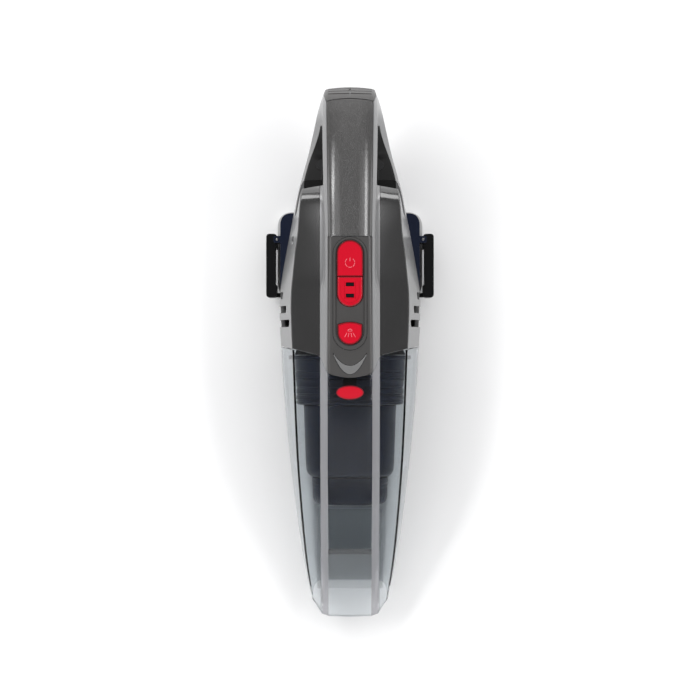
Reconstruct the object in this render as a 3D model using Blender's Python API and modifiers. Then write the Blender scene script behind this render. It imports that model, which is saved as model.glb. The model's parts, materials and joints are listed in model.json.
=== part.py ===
"""Cordless handheld vacuum with a closed loop handle, a clear dust bin and a slide-out battery.

Frame: +Z up, +Y towards the rear of the handle, nozzle at -Y, +X right, standing on Z = 0.
Every length and position below is in millimetres; mesh_object() turns them into metres.
"""
import math

import bmesh
import bpy
from mathutils import Matrix, Vector

MM = 0.001
GAP = 0.3             # clearance between neighbouring pieces

# ---- driving dimensions -------------------------------------------------------------------
LENGTH = 400.0
REAR = LENGTH / 2
NOZZLE = -LENGTH / 2
PANEL = 1.8           # thickness of the trim panels laid on the housing
WALL = 4.2            # housing skin and panel seat together
BIN_WALL = 2.2
MOTOR_Z = 62.0        # height of the motor and impeller axis
FILTER_Z = 50.0
MOUTH_TOP = 27.0      # height of the upper nozzle lip
MOUTH_SET_BACK = 28.0  # how far the lower lip sits behind the upper one
BAY_FRONT = 46.0      # battery bay
BAY_TOP = 36.0
WELD_MM = 0.02
FLAT_DEG = 0.05
CAP_FRONT = 187.2
CAP_FRONT_W = 17.2
CAP_BOW = 2.0
REAR_BOW = 2.6
REAR_BOW_W = 19.5
GRIP_FRONT = 88.9
BUTTON_PROUD = 1.0
CASE_W = 53.5
BASE_W = 56.5
BASE_TOP = 7.0
LATCH_X = 56.2
LATCH_Y = 91.0

# ---- hull curves: (Y, value) -----------------------------------------------------------------
TOP_Z = ((-204, 24.5), (-170, 44), (-140, 62), (-110, 77), (-85, 88), (-55, 97), (-15, 104), (40, 110),
         (90, 116), (130, 121), (160, 122.5), (176, 120.5), (187, 115), (194, 106), (200, 92))
BOTTOM_Z = ((-204, 0), (46, 0), (60, 20), (112, 38), (150, 48), (180, 64), (200, 76))
BOTTOM_W = ((-204, 22), (-150, 27), (-60, 32), (0, 36), (46, 38), (112, 34), (150, 26), (200, 15))
SIDE_W = ((-204, 27), (-188, 29.8), (-177, 32.4), (-154, 36.6), (-116, 41.8), (-70, 46.9), (-17, 51.5),
          (10, 53), (25, 53.8), (46, 54.2), (60, 52.4), (75, 49.8), (92, 46.6), (110, 42.9), (133, 37.8),
          (152, 32.5), (178, 26), (189, 22.7), (197, 19.6), (200, 18.4))
SIDE_Z = ((-204, 6), (-188, 10), (-140, 24), (-60, 40), (0, 45), (60, 49), (112, 52), (150, 55),
          (180, 70), (200, 82))
SHOULDER_W = ((-204, 26), (-188, 29), (-158, 33.6), (-114, 37.4), (-68, 40.2), (7, 42.8), (39, 43.7),
              (48, 43.5), (61, 42.2), (80, 40.2), (92, 38.6), (122, 36.2), (133, 34.4), (144, 31.6),
              (175, 21.6), (190, 20.4), (200, 18))
SHOULDER_Z = ((-204, 9), (-188, 15.5), (-170, 27), (-140, 44), (-110, 58), (-85, 67.5), (-55, 76),
              (-15, 81.5), (46, 85.4), (52, 85.9), (56, 87.3), (62, 88.8), (72, 90), (90, 91.2), (108, 92),
              (115, 91.6), (121, 89), (127, 83), (131, 73), (134, 62.8), (150, 63.2), (172, 74), (186, 88),
              (200, 84.5))
FOOT_W = ((-204, 21.8), (46, 22), (53, 21.2), (61, 19.4), (72, 18.9), (90, 18.9), (118, 19.6),
          (133, 20.2), (176, 20.7), (190, 20), (200, 18))
FOOT_Z = ((-204, 21.2), (-170, 40.5), (-110, 71), (-55, 90.5), (-15, 96), (46, 99.4), (52, 99.7),
          (56, 100.9), (62, 102), (72, 102.3), (90, 101.6), (108, 100.4), (115, 99.4), (121, 96), (127, 89),
          (131, 78), (134, 63.8), (150, 64.2), (172, 76.5), (186, 91), (200, 86.5))
RIDGE_W = ((-204, 19.2), (40, 19), (62, 18.5), (90, 18.5), (118, 19.2), (176, 20.1), (190, 19.6),
           (200, 18))
RIDGE_DROP = ((-204, 1.4), (-15, 3.4), (40, 5), (90, 6.5), (118, 7), (187, 7), (200, 3.5))
TOP_W = ((-204, 16.4), (40, 16.1), (90, 15.5), (118, 15.8), (187, 17), (200, 16.4))
TOP_EDGE_DROP = 0.8
STATIONS = (-204, -188, -162, -134, -104, -70, -34, 4, 46, 72, 98, 118, 124, 129, 133, 150, 168, 187,
            194, 200)
# corner roundings of a cross-section, from the belly edge up to the edge of the top: (radius, segments)
ROUNDING = ((7, 1), (16, 1), (26, 2), (0, 0), (0, 0), (0, 0), (2.2, 1))

# ---- seam between bin and housing, in plan: (|X|, Y) -------------------------------------------
SEAM = ((0, -14.3), (8, -13.4), (16.4, -10.5), (22.3, 1), (31, 3.9), (43, 6.9), (60, 11))
# ---- finger opening and battery bay, side outlines: (Y, Z) -------------------------------------
OPENING = ((136, 96.5), (130, 88), (108, 74), (104, 64), (152, 64), (172, 75.5), (181, 88), (177, 96.5))
BAY = ((BAY_FRONT, -12), (260, -12), (260, 28), (112, BAY_TOP + 1), (104, BAY_TOP), (BAY_FRONT, BAY_TOP))

# ---- switches ------------------------------------------------------------------------------------
BEZEL = (12.3, 6.0, 88.0)          # half width, front, rear
SWITCH = (9.4, 37.6, 85.5)
SWITCH_SPLIT = 59.7
LIGHT = (8.8, 10.1, 26.3)
WINDOWS_Y = (45.6, 53.8)
RELEASE_Y = -25.2
RELEASE_SIZE = (10.1, 5.05)

SCREWS = ((88, 72), (186, 100), (22, 14), (129, 52))   # (Y, Z) of the housing screws
VENTS = ((47, 36, 62), (36.5, 35, 71), (26, 34, 79))   # (Y, lower Z, upper Z) of the exhaust slots
VENT_HALF = 2.7
LENS_HALF = 12.0


def clear_scene():
    for ob in list(bpy.data.objects):
        bpy.data.objects.remove(ob, do_unlink=True)


def new_collection(name):
    made = bpy.data.collections.new(name)
    bpy.context.scene.collection.children.link(made)
    return made


clear_scene()
PARTS = new_collection("handheld_vacuum")
CUTTERS = new_collection("cutters")


# ---- materials -------------------------------------------------------------------------------
def material(name, colour, roughness, metallic=0.0, alpha=1.0):
    made = bpy.data.materials.new(name)
    made.use_nodes = True
    shader = made.node_tree.nodes["Principled BSDF"]
    shader.inputs["Base Color"].default_value = (*colour, 1.0)
    shader.inputs["Roughness"].default_value = roughness
    shader.inputs["Metallic"].default_value = metallic
    shader.inputs["Alpha"].default_value = alpha
    return made


SILVER = material("silver_paint", (0.42, 0.42, 0.43), 0.32, 0.6)
GLOSS_GREY = material("gloss_grey", (0.045, 0.043, 0.044), 0.12)
TRIM_GREY = material("trim_grey", (0.09, 0.088, 0.086), 0.38)
GRIP_GREY = material("grip_grey", (0.085, 0.083, 0.081), 0.55)
RED = material("red_plastic", (0.62, 0.01, 0.025), 0.28)
CLEAR = material("smoked_clear", (0.55, 0.6, 0.62), 0.06, 0.0, 0.35)
NAVY = material("navy_plastic", (0.014, 0.018, 0.035), 0.4)
BLACK = material("black_plastic", (0.01, 0.01, 0.011), 0.35)
PALE = material("pale_plastic", (0.6, 0.6, 0.6), 0.4)
RUBBER = material("black_rubber", (0.02, 0.02, 0.02), 0.8)
STEEL = material("steel", (0.55, 0.55, 0.56), 0.3, 1.0)
BOARD = material("board_green", (0.02, 0.1, 0.05), 0.5)
PAPER = material("filter_paper", (0.75, 0.75, 0.7), 0.9)
CELL = material("cell_wrap", (0.05, 0.12, 0.3), 0.35)


# ---- building blocks ---------------------------------------------------------------------------
def mesh_object(name, bm, mat=None):
    """A millimetre bmesh becomes an object in metres: a part where it has a material, else a cutter."""
    bmesh.ops.scale(bm, vec=(MM, MM, MM), verts=bm.verts)
    bmesh.ops.recalc_face_normals(bm, faces=bm.faces)
    mesh = bpy.data.meshes.new(name)
    bm.to_mesh(mesh)
    bm.free()
    ob = bpy.data.objects.new(name, mesh)
    if mat:
        PARTS.objects.link(ob)
        mesh.materials.append(mat)
        mesh.shade_smooth()
        mesh.set_sharp_from_angle(angle=math.radians(30))
    else:
        CUTTERS.objects.link(ob)
        ob.hide_render = True
        ob.display_type = "WIRE"
    return ob


def combine(target, cutter, operation):
    """One live Boolean: target minus, and, or plus the cutter."""
    mod = target.modifiers.new(operation.lower() + "_" + cutter.name, "BOOLEAN")
    mod.operation = operation
    mod.solver = "MANIFOLD"
    mod.object = cutter
    return target


def cut(target, *cutters):
    for cutter in cutters:
        combine(target, cutter, "DIFFERENCE")
    return target


def keep(target, *cutters):
    for cutter in cutters:
        combine(target, cutter, "INTERSECT")
    return target


def join(target, *others):
    for other in others:
        combine(target, other, "UNION")
    return target


def round_edges(ob, width, segments=1, angle=30):
    mod = ob.modifiers.new("rounded_edges", "BEVEL")
    mod.width = width * MM
    mod.segments = segments
    mod.limit_method = "ANGLE"
    mod.angle_limit = math.radians(angle)
    return ob


def clean_cuts():
    """Merge the hair-thin edges that a chain of Booleans leaves, and dissolve the flat splits."""
    for ob in PARTS.objects:
        if any(mod.type == "BOOLEAN" for mod in ob.modifiers):
            weld = ob.modifiers.new("weld", "WELD")
            weld.merge_threshold = WELD_MM * MM
            flat = ob.modifiers.new("dissolve_flats", "DECIMATE")
            flat.decimate_type = "DISSOLVE"
            flat.angle_limit = math.radians(FLAT_DEG)


def carry(name, origin, *objects):
    """An empty on a joint's axis carries the pieces that move about it."""
    empty = bpy.data.objects.new(name, None)
    empty.location = Vector(origin) * MM
    empty.empty_display_size = 0.01
    PARTS.objects.link(empty)
    offset = Matrix.Translation(empty.location).inverted()
    for ob in objects:
        ob.parent = empty
        ob.matrix_parent_inverse = offset
    return empty


def block(name, low, high, mat=None):
    bm = bmesh.new()
    bmesh.ops.create_cube(bm, size=1)
    size = Vector(high) - Vector(low)
    middle = (Vector(high) + Vector(low)) / 2
    bmesh.ops.scale(bm, vec=size, verts=bm.verts)
    bmesh.ops.translate(bm, vec=middle, verts=bm.verts)
    return mesh_object(name, bm, mat)


def rod(name, start, end, radius, mat=None, sides=16):
    """A solid cylinder from start to end."""
    bm = bmesh.new()
    axis = Vector(end) - Vector(start)
    bmesh.ops.create_cone(bm, cap_ends=True, segments=sides, radius1=radius, radius2=radius,
                          depth=axis.length)
    turn = Vector((0, 0, 1)).rotation_difference(axis).to_matrix().to_4x4()
    bmesh.ops.transform(bm, matrix=Matrix.Translation((Vector(start) + Vector(end)) / 2) @ turn,
                        verts=bm.verts)
    return mesh_object(name, bm, mat)


def turned(name, profile, centre, mat=None, steps=24):
    """A profile (radius, height), outer side running down, turned about the Y direction through centre."""
    bm = bmesh.new()
    closed = profile[0] == profile[-1]
    verts = [bm.verts.new((radius, 0, height)) for radius, height in profile[:-1 if closed else None]]
    if closed:
        verts.append(verts[0])
    for first, second in zip(verts, verts[1:]):
        bm.edges.new((first, second))
    ob = mesh_object(name, bm, mat)
    ob.location = Vector(centre) * MM
    ob.rotation_euler = (-math.pi / 2, 0, 0)
    mod = ob.modifiers.new("turn", "SCREW")
    mod.steps = steps
    mod.render_steps = steps
    mod.use_merge_vertices = True
    mod.merge_threshold = 0.00001
    mod.use_smooth_shade = True
    return ob


def ring_profile(inner, outer, height):
    """Closed profile of a plain ring that starts at height 0."""
    return ((inner, height), (outer, height), (outer, 0), (inner, 0), (inner, height))


def to_mesh(curve_ob):
    """The curve as a welded mesh."""
    bpy.context.view_layer.update()
    graph = bpy.context.evaluated_depsgraph_get()
    mesh = bpy.data.meshes.new_from_object(curve_ob.evaluated_get(graph))
    bm = bmesh.new()
    bm.from_mesh(mesh)
    bpy.data.meshes.remove(mesh)
    bmesh.ops.transform(bm, matrix=curve_ob.matrix_world, verts=bm.verts)
    bmesh.ops.remove_doubles(bm, verts=bm.verts, dist=0.000002)
    bmesh.ops.scale(bm, vec=(1 / MM, 1 / MM, 1 / MM), verts=bm.verts)
    curve = curve_ob.data
    bpy.data.objects.remove(curve_ob)
    bpy.data.curves.remove(curve)
    return bm


def plate(name, outline, low, high, mat=None, along="Z"):
    """A flat outline extruded from low to high: (X, Y) along Z, (Y, Z) along X, (X, Z) along Y."""
    curve = bpy.data.curves.new(name, "CURVE")
    curve.dimensions = "2D"
    curve.fill_mode = "BOTH"
    curve.extrude = (high - low) / 2 * MM
    spline = curve.splines.new("POLY")
    spline.points.add(len(outline) - 1)
    for point, (a, b) in zip(spline.points, outline):
        point.co = (a * MM, b * MM, 0, 1)
    spline.use_cyclic_u = True
    curve_ob = bpy.data.objects.new(name + "_outline", curve)
    bpy.context.scene.collection.objects.link(curve_ob)
    middle = (low + high) / 2 * MM
    axes = {"Z": ((1, 0, 0), (0, 1, 0), (0, 0, 1)),
            "X": ((0, 1, 0), (0, 0, 1), (1, 0, 0)),
            "Y": ((1, 0, 0), (0, 0, 1), (0, -1, 0))}[along]
    turn = Matrix(axes).transposed().to_4x4()
    sign = -1 if along == "Y" else 1
    curve_ob.matrix_world = turn @ Matrix.Translation((0, 0, sign * middle))
    return mesh_object(name, to_mesh(curve_ob), mat)


def coil(name, start, end, radius, wire, turns, mat):
    """A compression spring from start to end along X."""
    per_turn = 8
    curve = bpy.data.curves.new(name, "CURVE")
    curve.dimensions = "3D"
    curve.bevel_depth = wire * MM
    curve.bevel_resolution = 1
    curve.use_fill_caps = True
    count = turns * per_turn + 1
    spline = curve.splines.new("POLY")
    spline.points.add(count - 1)
    for i in range(count):
        part = i / (count - 1)
        angle = 2 * math.pi * turns * part
        place = Vector(start).lerp(Vector(end), part)
        place += Vector((0, math.cos(angle), math.sin(angle))) * radius
        spline.points[i].co = (*(place * MM), 1)
    curve_ob = bpy.data.objects.new(name + "_path", curve)
    bpy.context.scene.collection.objects.link(curve_ob)
    return mesh_object(name, to_mesh(curve_ob), mat)


# ---- outlines -------------------------------------------------------------------------------------
def arc(centre, radius, first, last, steps):
    """Points of an arc, angles in degrees."""
    points = []
    for i in range(steps + 1):
        angle = math.radians(first + (last - first) * i / steps)
        points.append((centre[0] + radius * math.cos(angle), centre[1] + radius * math.sin(angle)))
    return points


def rounded_box(x0, y0, x1, y1, radius, steps=3):
    """A rectangle with round corners, counter-clockwise."""
    return (arc((x1 - radius, y0 + radius), radius, -90, 0, steps)
            + arc((x1 - radius, y1 - radius), radius, 0, 90, steps)
            + arc((x0 + radius, y1 - radius), radius, 90, 180, steps)
            + arc((x0 + radius, y0 + radius), radius, 180, 270, steps))


def pill(half, y0, y1, grow=0.0, steps=8):
    """A slot shape of half width half with round ends at y0 and y1."""
    radius = half + grow
    return (arc((0, y0 + half), radius, 180, 360, steps)
            + arc((0, y1 - half), radius, 0, 180, steps))


def oval(half_x, half_y, centre_y, grow=0.0, steps=20):
    points = []
    for i in range(steps):
        angle = 2 * math.pi * i / steps
        points.append(((half_x + grow) * math.cos(angle), centre_y + (half_y + grow) * math.sin(angle)))
    return points


def oval_ring(y, half_x, half_z, centre_z, power=2.3, steps=24):
    """A ring of points round a superellipse that stands across the Y direction."""
    points = []
    for i in range(steps):
        angle = 2 * math.pi * i / steps
        c = math.cos(angle)
        s = math.sin(angle)
        x = math.copysign(abs(c) ** (2 / power), c) * half_x
        z = math.copysign(abs(s) ** (2 / power), s) * half_z
        points.append((x, y, centre_z + z))
    return points


def offset_outline(points, distance):
    """Moves a closed outline outwards (counter-clockwise) by distance."""
    lines = []
    count = len(points)
    for i in range(count):
        a = Vector(points[i])
        b = Vector(points[(i + 1) % count])
        way = (b - a).normalized()
        normal = Vector((way.y, -way.x))
        lines.append((a + normal * distance, way))
    moved = []
    for i in range(count):
        (p, u), (q, v) = lines[i - 1], lines[i]
        cross = u.x * v.y - u.y * v.x
        if abs(cross) < 0.02:
            moved.append(tuple(q))
            continue
        gap = q - p
        moved.append(tuple(p + u * ((gap.x * v.y - gap.y * v.x) / cross)))
    return moved


def round_corners(points, radius, steps=3):
    """Rounds every corner of a closed outline."""
    rounded = []
    count = len(points)
    for i in range(count):
        rounded += corner(Vector(points[i - 1]), Vector(points[i]), Vector(points[(i + 1) % count]),
                          radius, steps)
    return rounded


def corner(before, at, after, radius, steps):
    """Points of one rounded corner, or the corner itself where steps is 0."""
    if steps == 0:
        return [tuple(at)]
    back = before - at
    ahead = after - at
    half = back.angle(ahead, math.pi) / 2
    reach = radius / max(math.tan(half), 0.05)
    reach = min(reach, back.length * 0.45, ahead.length * 0.45)
    start = at + back.normalized() * reach
    end = at + ahead.normalized() * reach
    points = []
    for i in range(steps + 1):
        t = i / steps
        point = start * (1 - t) ** 2 + at * (2 * t * (1 - t)) + end * t ** 2
        points.append(tuple(point))
    return points


# ---- the hull: the one outer form that housing, panels and bin are cut from ------------------------
def value(curve, y):
    """Reads a hull curve at y, smoothly and without overshoot."""
    if y <= curve[0][0]:
        return curve[0][1]
    if y >= curve[-1][0]:
        return curve[-1][1]
    spans = []
    for (y0, v0), (y1, v1) in zip(curve, curve[1:]):
        spans.append((v1 - v0) / (y1 - y0))
    k = max(i for i in range(len(spans)) if curve[i][0] <= y)
    slope_in = knot_slope(spans, k)
    slope_out = knot_slope(spans, k + 1)
    (y0, v0), (y1, v1) = curve[k], curve[k + 1]
    step = y1 - y0
    t = (y - y0) / step
    return (v0 * (1 + 2 * t) * (1 - t) ** 2 + slope_in * step * t * (1 - t) ** 2
            + v1 * t ** 2 * (3 - 2 * t) + slope_out * step * t ** 2 * (t - 1))


def knot_slope(spans, k):
    """Slope at knot k: harmonic mean of its two spans, and none at a peak."""
    if k == 0:
        return spans[0]
    if k == len(spans):
        return spans[-1]
    before, after = spans[k - 1], spans[k]
    if before * after <= 0:
        return 0.0
    return 2 * before * after / (before + after)


def half_section(y):
    """Key corners (X, Z) of the right half, from the belly's middle up to the top's middle."""
    bottom = value(BOTTOM_Z, y)
    top = value(TOP_Z, y)
    side = value(SIDE_W, y)
    side_z = value(SIDE_Z, y)
    edge_z = top - TOP_EDGE_DROP
    return [(0, bottom),
            (value(BOTTOM_W, y), bottom),
            (side - 3, bottom + 0.35 * (side_z - bottom)),
            (side, side_z),
            (value(SHOULDER_W, y), value(SHOULDER_Z, y)),
            (value(FOOT_W, y), value(FOOT_Z, y)),
            (value(RIDGE_W, y), edge_z - value(RIDGE_DROP, y)),
            (value(TOP_W, y), edge_z),
            (0, top)]


def inset_half(points, inset):
    """Moves the half section inwards by inset; both ends stay on the middle plane."""
    full = points + [(-x, z) for x, z in points[-2:0:-1]]
    moved = offset_outline(full, -inset)
    return [(abs(x) if 0 < i < len(points) - 1 else 0.0, z) for i, (x, z) in enumerate(moved[:len(points)])]


def hull_ring(y, inset):
    """The whole cross-section at y as 3-D points, counter-clockwise seen from the rear."""
    half = [Vector(point) for point in inset_half(half_section(y), inset)]
    right = [tuple(half[0])]
    for i, (radius, steps) in enumerate(ROUNDING, start=1):
        right += corner(half[i - 1], half[i], half[i + 1], max(radius - inset, 0.5), steps)
    right.append(tuple(half[-1]))
    left = [(-x, z) for x, z in right[-2:0:-1]]
    return [(x, y, z) for x, z in right + left]


def loft(name, rings, mat=None):
    """Skin through rings of equal count, closed at both ends."""
    bm = bmesh.new()
    rows = [[bm.verts.new(point) for point in ring] for ring in rings]
    count = len(rows[0])
    for near, far in zip(rows, rows[1:]):
        for i in range(count):
            j = (i + 1) % count
            bm.faces.new((near[i], near[j], far[j], far[i]))
    bm.faces.new(rows[0])
    bm.faces.new(rows[-1])
    bmesh.ops.triangulate(bm, faces=bm.faces)
    return mesh_object(name, bm, mat)


def hull(name, inset, y0, y1, mat=None):
    """A length of the hull, inset from its outside, without the finger opening and the battery bay."""
    inside = [y for y in STATIONS if y0 + 1 < y < y1 - 1]
    ob = loft(name, [hull_ring(y, inset) for y in [y0, *inside, y1]], mat)
    if y1 > OPENING[3][0]:
        cut(ob, opening_cutter(inset), bay_cutter(inset), rear_cutter(inset))
    return ob


MADE = {}


def opening_cutter(grow):
    """The finger opening under the handle, right through, grown by grow."""
    key = ("finger_opening", grow)
    if key not in MADE:
        outline = round_corners(offset_outline(OPENING, grow), 7 + grow)
        MADE[key] = plate("finger_opening_%d" % round(grow * 10), outline, -80, 80, along="X")
    return MADE[key]


def bay_cutter(grow):
    """The battery bay under the housing, grown by grow."""
    key = ("battery_bay", grow)
    if key not in MADE:
        MADE[key] = plate("battery_bay_%d" % round(grow * 10), offset_outline(BAY, grow), -80, 80, along="X")
    return MADE[key]


def rear_cutter(grow):
    """Everything behind the bowed end of the handle, moved forward by grow."""
    key = ("rear_bow", grow)
    if key not in MADE:
        bow = [(REAR_BOW_W * t, REAR - grow - REAR_BOW * t * t) for t in (1, 0.5, 0, -0.5, -1)]
        outline = [(-40, bow[-1][1]), (-40, REAR + 30), (40, REAR + 30), (40, bow[0][1])] + bow
        MADE[key] = plate("rear_bow_%d" % round(grow * 10), outline[::-1], 50, 140)
    return MADE[key]


def panel_floor(inset):
    """The hull under a trim panel of thickness inset, shared by the panels and their seats."""
    if inset not in MADE:
        MADE[inset] = hull("hull_inset_%d" % round(inset * 10), inset, -30, REAR - inset)
    return MADE[inset]


def seam_cutter(keep_rear, gap):
    """Everything on one side of the seam between bin and housing."""
    line = [(x, y + gap) for x, y in SEAM]
    line = [(-x, y) for x, y in line[:0:-1]] + line
    far = -260 if keep_rear else 260
    outline = [(-60, far)] + line + [(60, far)]
    return plate("front_of_seam" if keep_rear else "rear_of_seam", outline, -20, 150)


# ---- trim panels ---------------------------------------------------------------------------------
def shoulder_outline(side, grow):
    """Plan outline of one glossy shoulder: from the foot of the spine out to the shoulder edge."""
    inner = 22.4 - grow
    rows = [-6, 12, 30, 44, 56, 70, 86, 104, 118, 126, 134 + grow]
    outer = [(side * (value(SHOULDER_W, y) + grow), y) for y in rows]
    return outer + [(side * inner, rows[-1]), (side * inner, rows[0])]


def cap_outline(grow):
    """Plan outline of the cap on the handle's rear end: bowed in front, and full width behind."""
    front = [(CAP_FRONT_W * t, CAP_FRONT + CAP_BOW * (1 - t * t) - grow) for t in (-0.5, 0, 0.5)]
    right = [(CAP_FRONT_W + grow, CAP_FRONT - grow), (CAP_FRONT_W + 2 + grow, CAP_FRONT + 7),
             (CAP_FRONT_W + 6 + grow, CAP_FRONT + 9.4), (CAP_FRONT_W + 6 + grow, 206)]
    return [(-x, y) for x, y in right[::-1]] + front + right


def grip_outline(grow):
    """Plan outline of the grip: wider at the rear, where it ends in front of the cap's bow."""
    front = GRIP_FRONT - grow
    rear = CAP_FRONT - 2 * GAP + grow
    back = [(CAP_FRONT_W * t, rear + CAP_BOW * (1 - t * t)) for t in (0.5, 0, -0.5)]
    return [(-15.6 - grow, front), (15.6 + grow, front), (16.9 + grow, rear), *back, (-16.9 - grow, rear)]


def control_outline(grow):
    """Plan outline of the control panel: straight sides and a round tongue in front."""
    half = 16.0 + grow
    front = [(half * t, -14.6 - grow + 3.9 * t * t) for t in (-1, -0.5, 0, 0.5, 1)]
    return front + [(half, GRIP_FRONT - 0.7 + grow), (-half, GRIP_FRONT - 0.7 + grow)]


def panel(name, outline_of, low, high, mat):
    """A trim panel: the outer PANEL of the hull inside an outline. Also cuts its seat in the housing."""
    ob = hull(name, 0.0, -30, REAR, mat)
    keep(ob, plate(name + "_outline", outline_of(0.0), low, high))
    cut(ob, panel_floor(PANEL))
    seat = plate(name + "_seat", outline_of(GAP), low, high)
    cut(seat, panel_floor(PANEL + GAP))
    return ob, seat


def make_panels():
    """Shoulders, control panel, grip and end cap, with the seats they need."""
    seam = seam_cutter(True, GAP)
    made = {}
    seats = []
    for side, name in ((-1, "left_shoulder"), (1, "right_shoulder")):
        made[name], seat = panel(name, lambda grow, s=side: shoulder_outline(s, grow), 76, 130, GLOSS_GREY)
        seats.append(seat)
    made["control_panel"], seat = panel("control_panel", control_outline, 94, 130, TRIM_GREY)
    seats.append(seat)
    made["handle_grip"], seat = panel("handle_grip", grip_outline, 100, 130, GRIP_GREY)
    seats.append(seat)
    made["handle_end_cap"], seat = panel("handle_end_cap", cap_outline, 88.4, 130, TRIM_GREY)
    seats.append(seat)
    for name in ("left_shoulder", "right_shoulder", "control_panel"):
        cut(made[name], seam)
    cut(made["control_panel"], plate("bezel_hole", pill(*BEZEL, GAP), 90, 130))
    cut(made["control_panel"], plate("lens_hole", lens_outline(GAP), 90, 130))
    for i in range(2):
        z = 97 + 6.5 * i
        cut(made["handle_end_cap"], block("cap_groove_%d" % i, (-15, rear_slope(z) - 0.9, z - 0.5),
                                          (15, 210, z + 0.5)))
    return made, seats


def rear_slope(z):
    """Y on the rear slope of the handle where the top is at height z."""
    low, high = 170.0, REAR
    for _ in range(30):
        middle = (low + high) / 2
        if value(TOP_Z, middle) > z:
            low = middle
        else:
            high = middle
    return low


def well_liner():
    """Dark lining on the floor of the finger opening, and its seat."""
    def plan(grow):
        rows = [113, 122, 133, 140, 152, 164, 173 + grow]
        right = [(value(SHOULDER_W, max(y, 133)) + grow, y) for y in rows]
        right[0] = (right[0][0], 113 - grow)
        return right + [(-x, y) for x, y in right[::-1]]

    side = ((100, 50), (100, 70), (150, 70), (172, 84), (180, 84), (180, 50))
    depth = 2.4
    ob = hull("finger_well_liner", 0.0, 100, 190, GLOSS_GREY)
    keep(ob, plate("well_plan", plan(0.0), 40, 100), plate("well_side", side, -60, 60, along="X"),
         opening_cutter(depth))
    seat = plate("well_seat", plan(GAP), 40, 100)
    keep(seat, plate("well_seat_side", side, -60, 60, along="X"), opening_cutter(depth + GAP))
    return ob, seat


def lens_outline(grow):
    """Crescent of the lamp lens in the tip of the control panel: two parabolas, moved out by grow."""
    end = 1 + grow / LENS_HALF
    rows = [[], []]
    for row, (middle, rise, way) in zip(rows, ((-11.8, 14.0, -1), (-5.6, 8.6, 1))):
        for t in (-end, -0.66, -0.33, 0, 0.33, 0.66, end):
            out = grow * math.hypot(1, 2 * rise * t / LENS_HALF)
            row.append((LENS_HALF * t, middle + rise * t * t + way * out))
    return rows[0] + rows[1][::-1]


# ---- housing -----------------------------------------------------------------------------------
def housing_half(name, side, seats):
    """One silver clamshell half: outer skin, seats for the panels, screw posts, vents and openings."""
    ob = hull(name, 0.0, -30, REAR, SILVER)
    cut(ob, housing_inside())
    for number, (y, z) in enumerate(SCREWS, start=1):
        post = rod("%s_post_%d" % (name, number), (side * 60, y, z), (0, y, z), 5.2)
        keep(post, MADE["outer_hull"])
        join(ob, post)
        reach = 60 if side < 0 else 12
        cut(ob, rod("%s_bore_%d" % (name, number), (side * reach, y, z), (-side, y, z), 1.7))
        if side < 0:
            cut(ob, rod("%s_sink_%d" % (name, number), (-60, y, z), (-11.4, y, z), 3.5))
    far = side * 90
    middle = side * GAP / 2
    cut(ob, block(name + "_other_half", (min(-far, middle), -260, -20), (max(-far, middle), 260, 150)))
    cut(ob, MADE["front_seam"], *seats)
    for number, (y, low, high) in enumerate(VENTS, start=1):
        inner = side * 38
        cut(ob, block("%s_vent_%d" % (name, number), (min(inner, side * 70), y - VENT_HALF, low),
                      (max(inner, side * 70), y + VENT_HALF, high)))
    cut(ob, plate(name + "_switch_hole", pill(*BEZEL, GAP), 90, 130),
        plate(name + "_lens_hole", lens_outline(GAP), 90, 130),
        rod(name + "_socket_hole", (0, 180, 82), (0, 210, 82), 4.3, sides=20),
        block(name + "_terminal_hole", (-10.2, 40, 13.7), (10.2, 48, 24.3)))
    return ob


def housing_inside():
    if "inside" not in MADE:
        MADE["inside"] = hull("housing_inside", WALL, -40, REAR - WALL)
        MADE["outer_hull"] = hull("outer_hull", 0.0, -30, REAR)
        MADE["front_seam"] = seam_cutter(True, 0.0)
    return MADE["inside"]


def screws():
    for number, (y, z) in enumerate(SCREWS, start=1):
        screw = rod("housing_screw_%d" % number, (-11.8, y, z), (9, y, z), 1.35, STEEL, 10)
        head = rod("screw_head_%d" % number, (-14.2, y, z), (-11.7, y, z), 3.1)
        slot = block("screw_slot_%d" % number, (-15, y - 2.2, z - 0.4), (-13.4, y + 2.2, z + 0.4))
        join(screw, head)
        cut(screw, slot)


# ---- switches -----------------------------------------------------------------------------------
def key_top(name, outline, mat, low=4.6, high=-BUTTON_PROUD, y0=-30.0, y1=100.0):
    """A button cut from the hull: proud of its outside, down to a depth of low."""
    ob = hull(name, high, y0, y1, mat)
    keep(ob, plate(name + "_outline", outline, 80, 130))
    cut(ob, hull(name + "_underside", low, y0 - 2, y1 + 2))
    return ob


def switch_outline(y0, y1, grow):
    """Part of the pill between y0 and y1."""
    half, front, rear = SWITCH
    points = [(x, min(max(y, y0 - grow), y1 + grow)) for x, y in pill(half, front, rear, grow)]
    return points


def light_outline(grow):
    """D-shaped button: round in front, nearly straight behind."""
    half, front, rear = LIGHT
    radius = half + grow
    middle = rear - 4.6
    points = arc((0, front + half), radius, 180, 360, 8)
    back = [((half + grow) * t, rear + grow - 1.8 * t * t) for t in (1, 0.5, 0, -0.5, -1)]
    return [(x, y) for x, y in points if y < middle] + back


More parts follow.
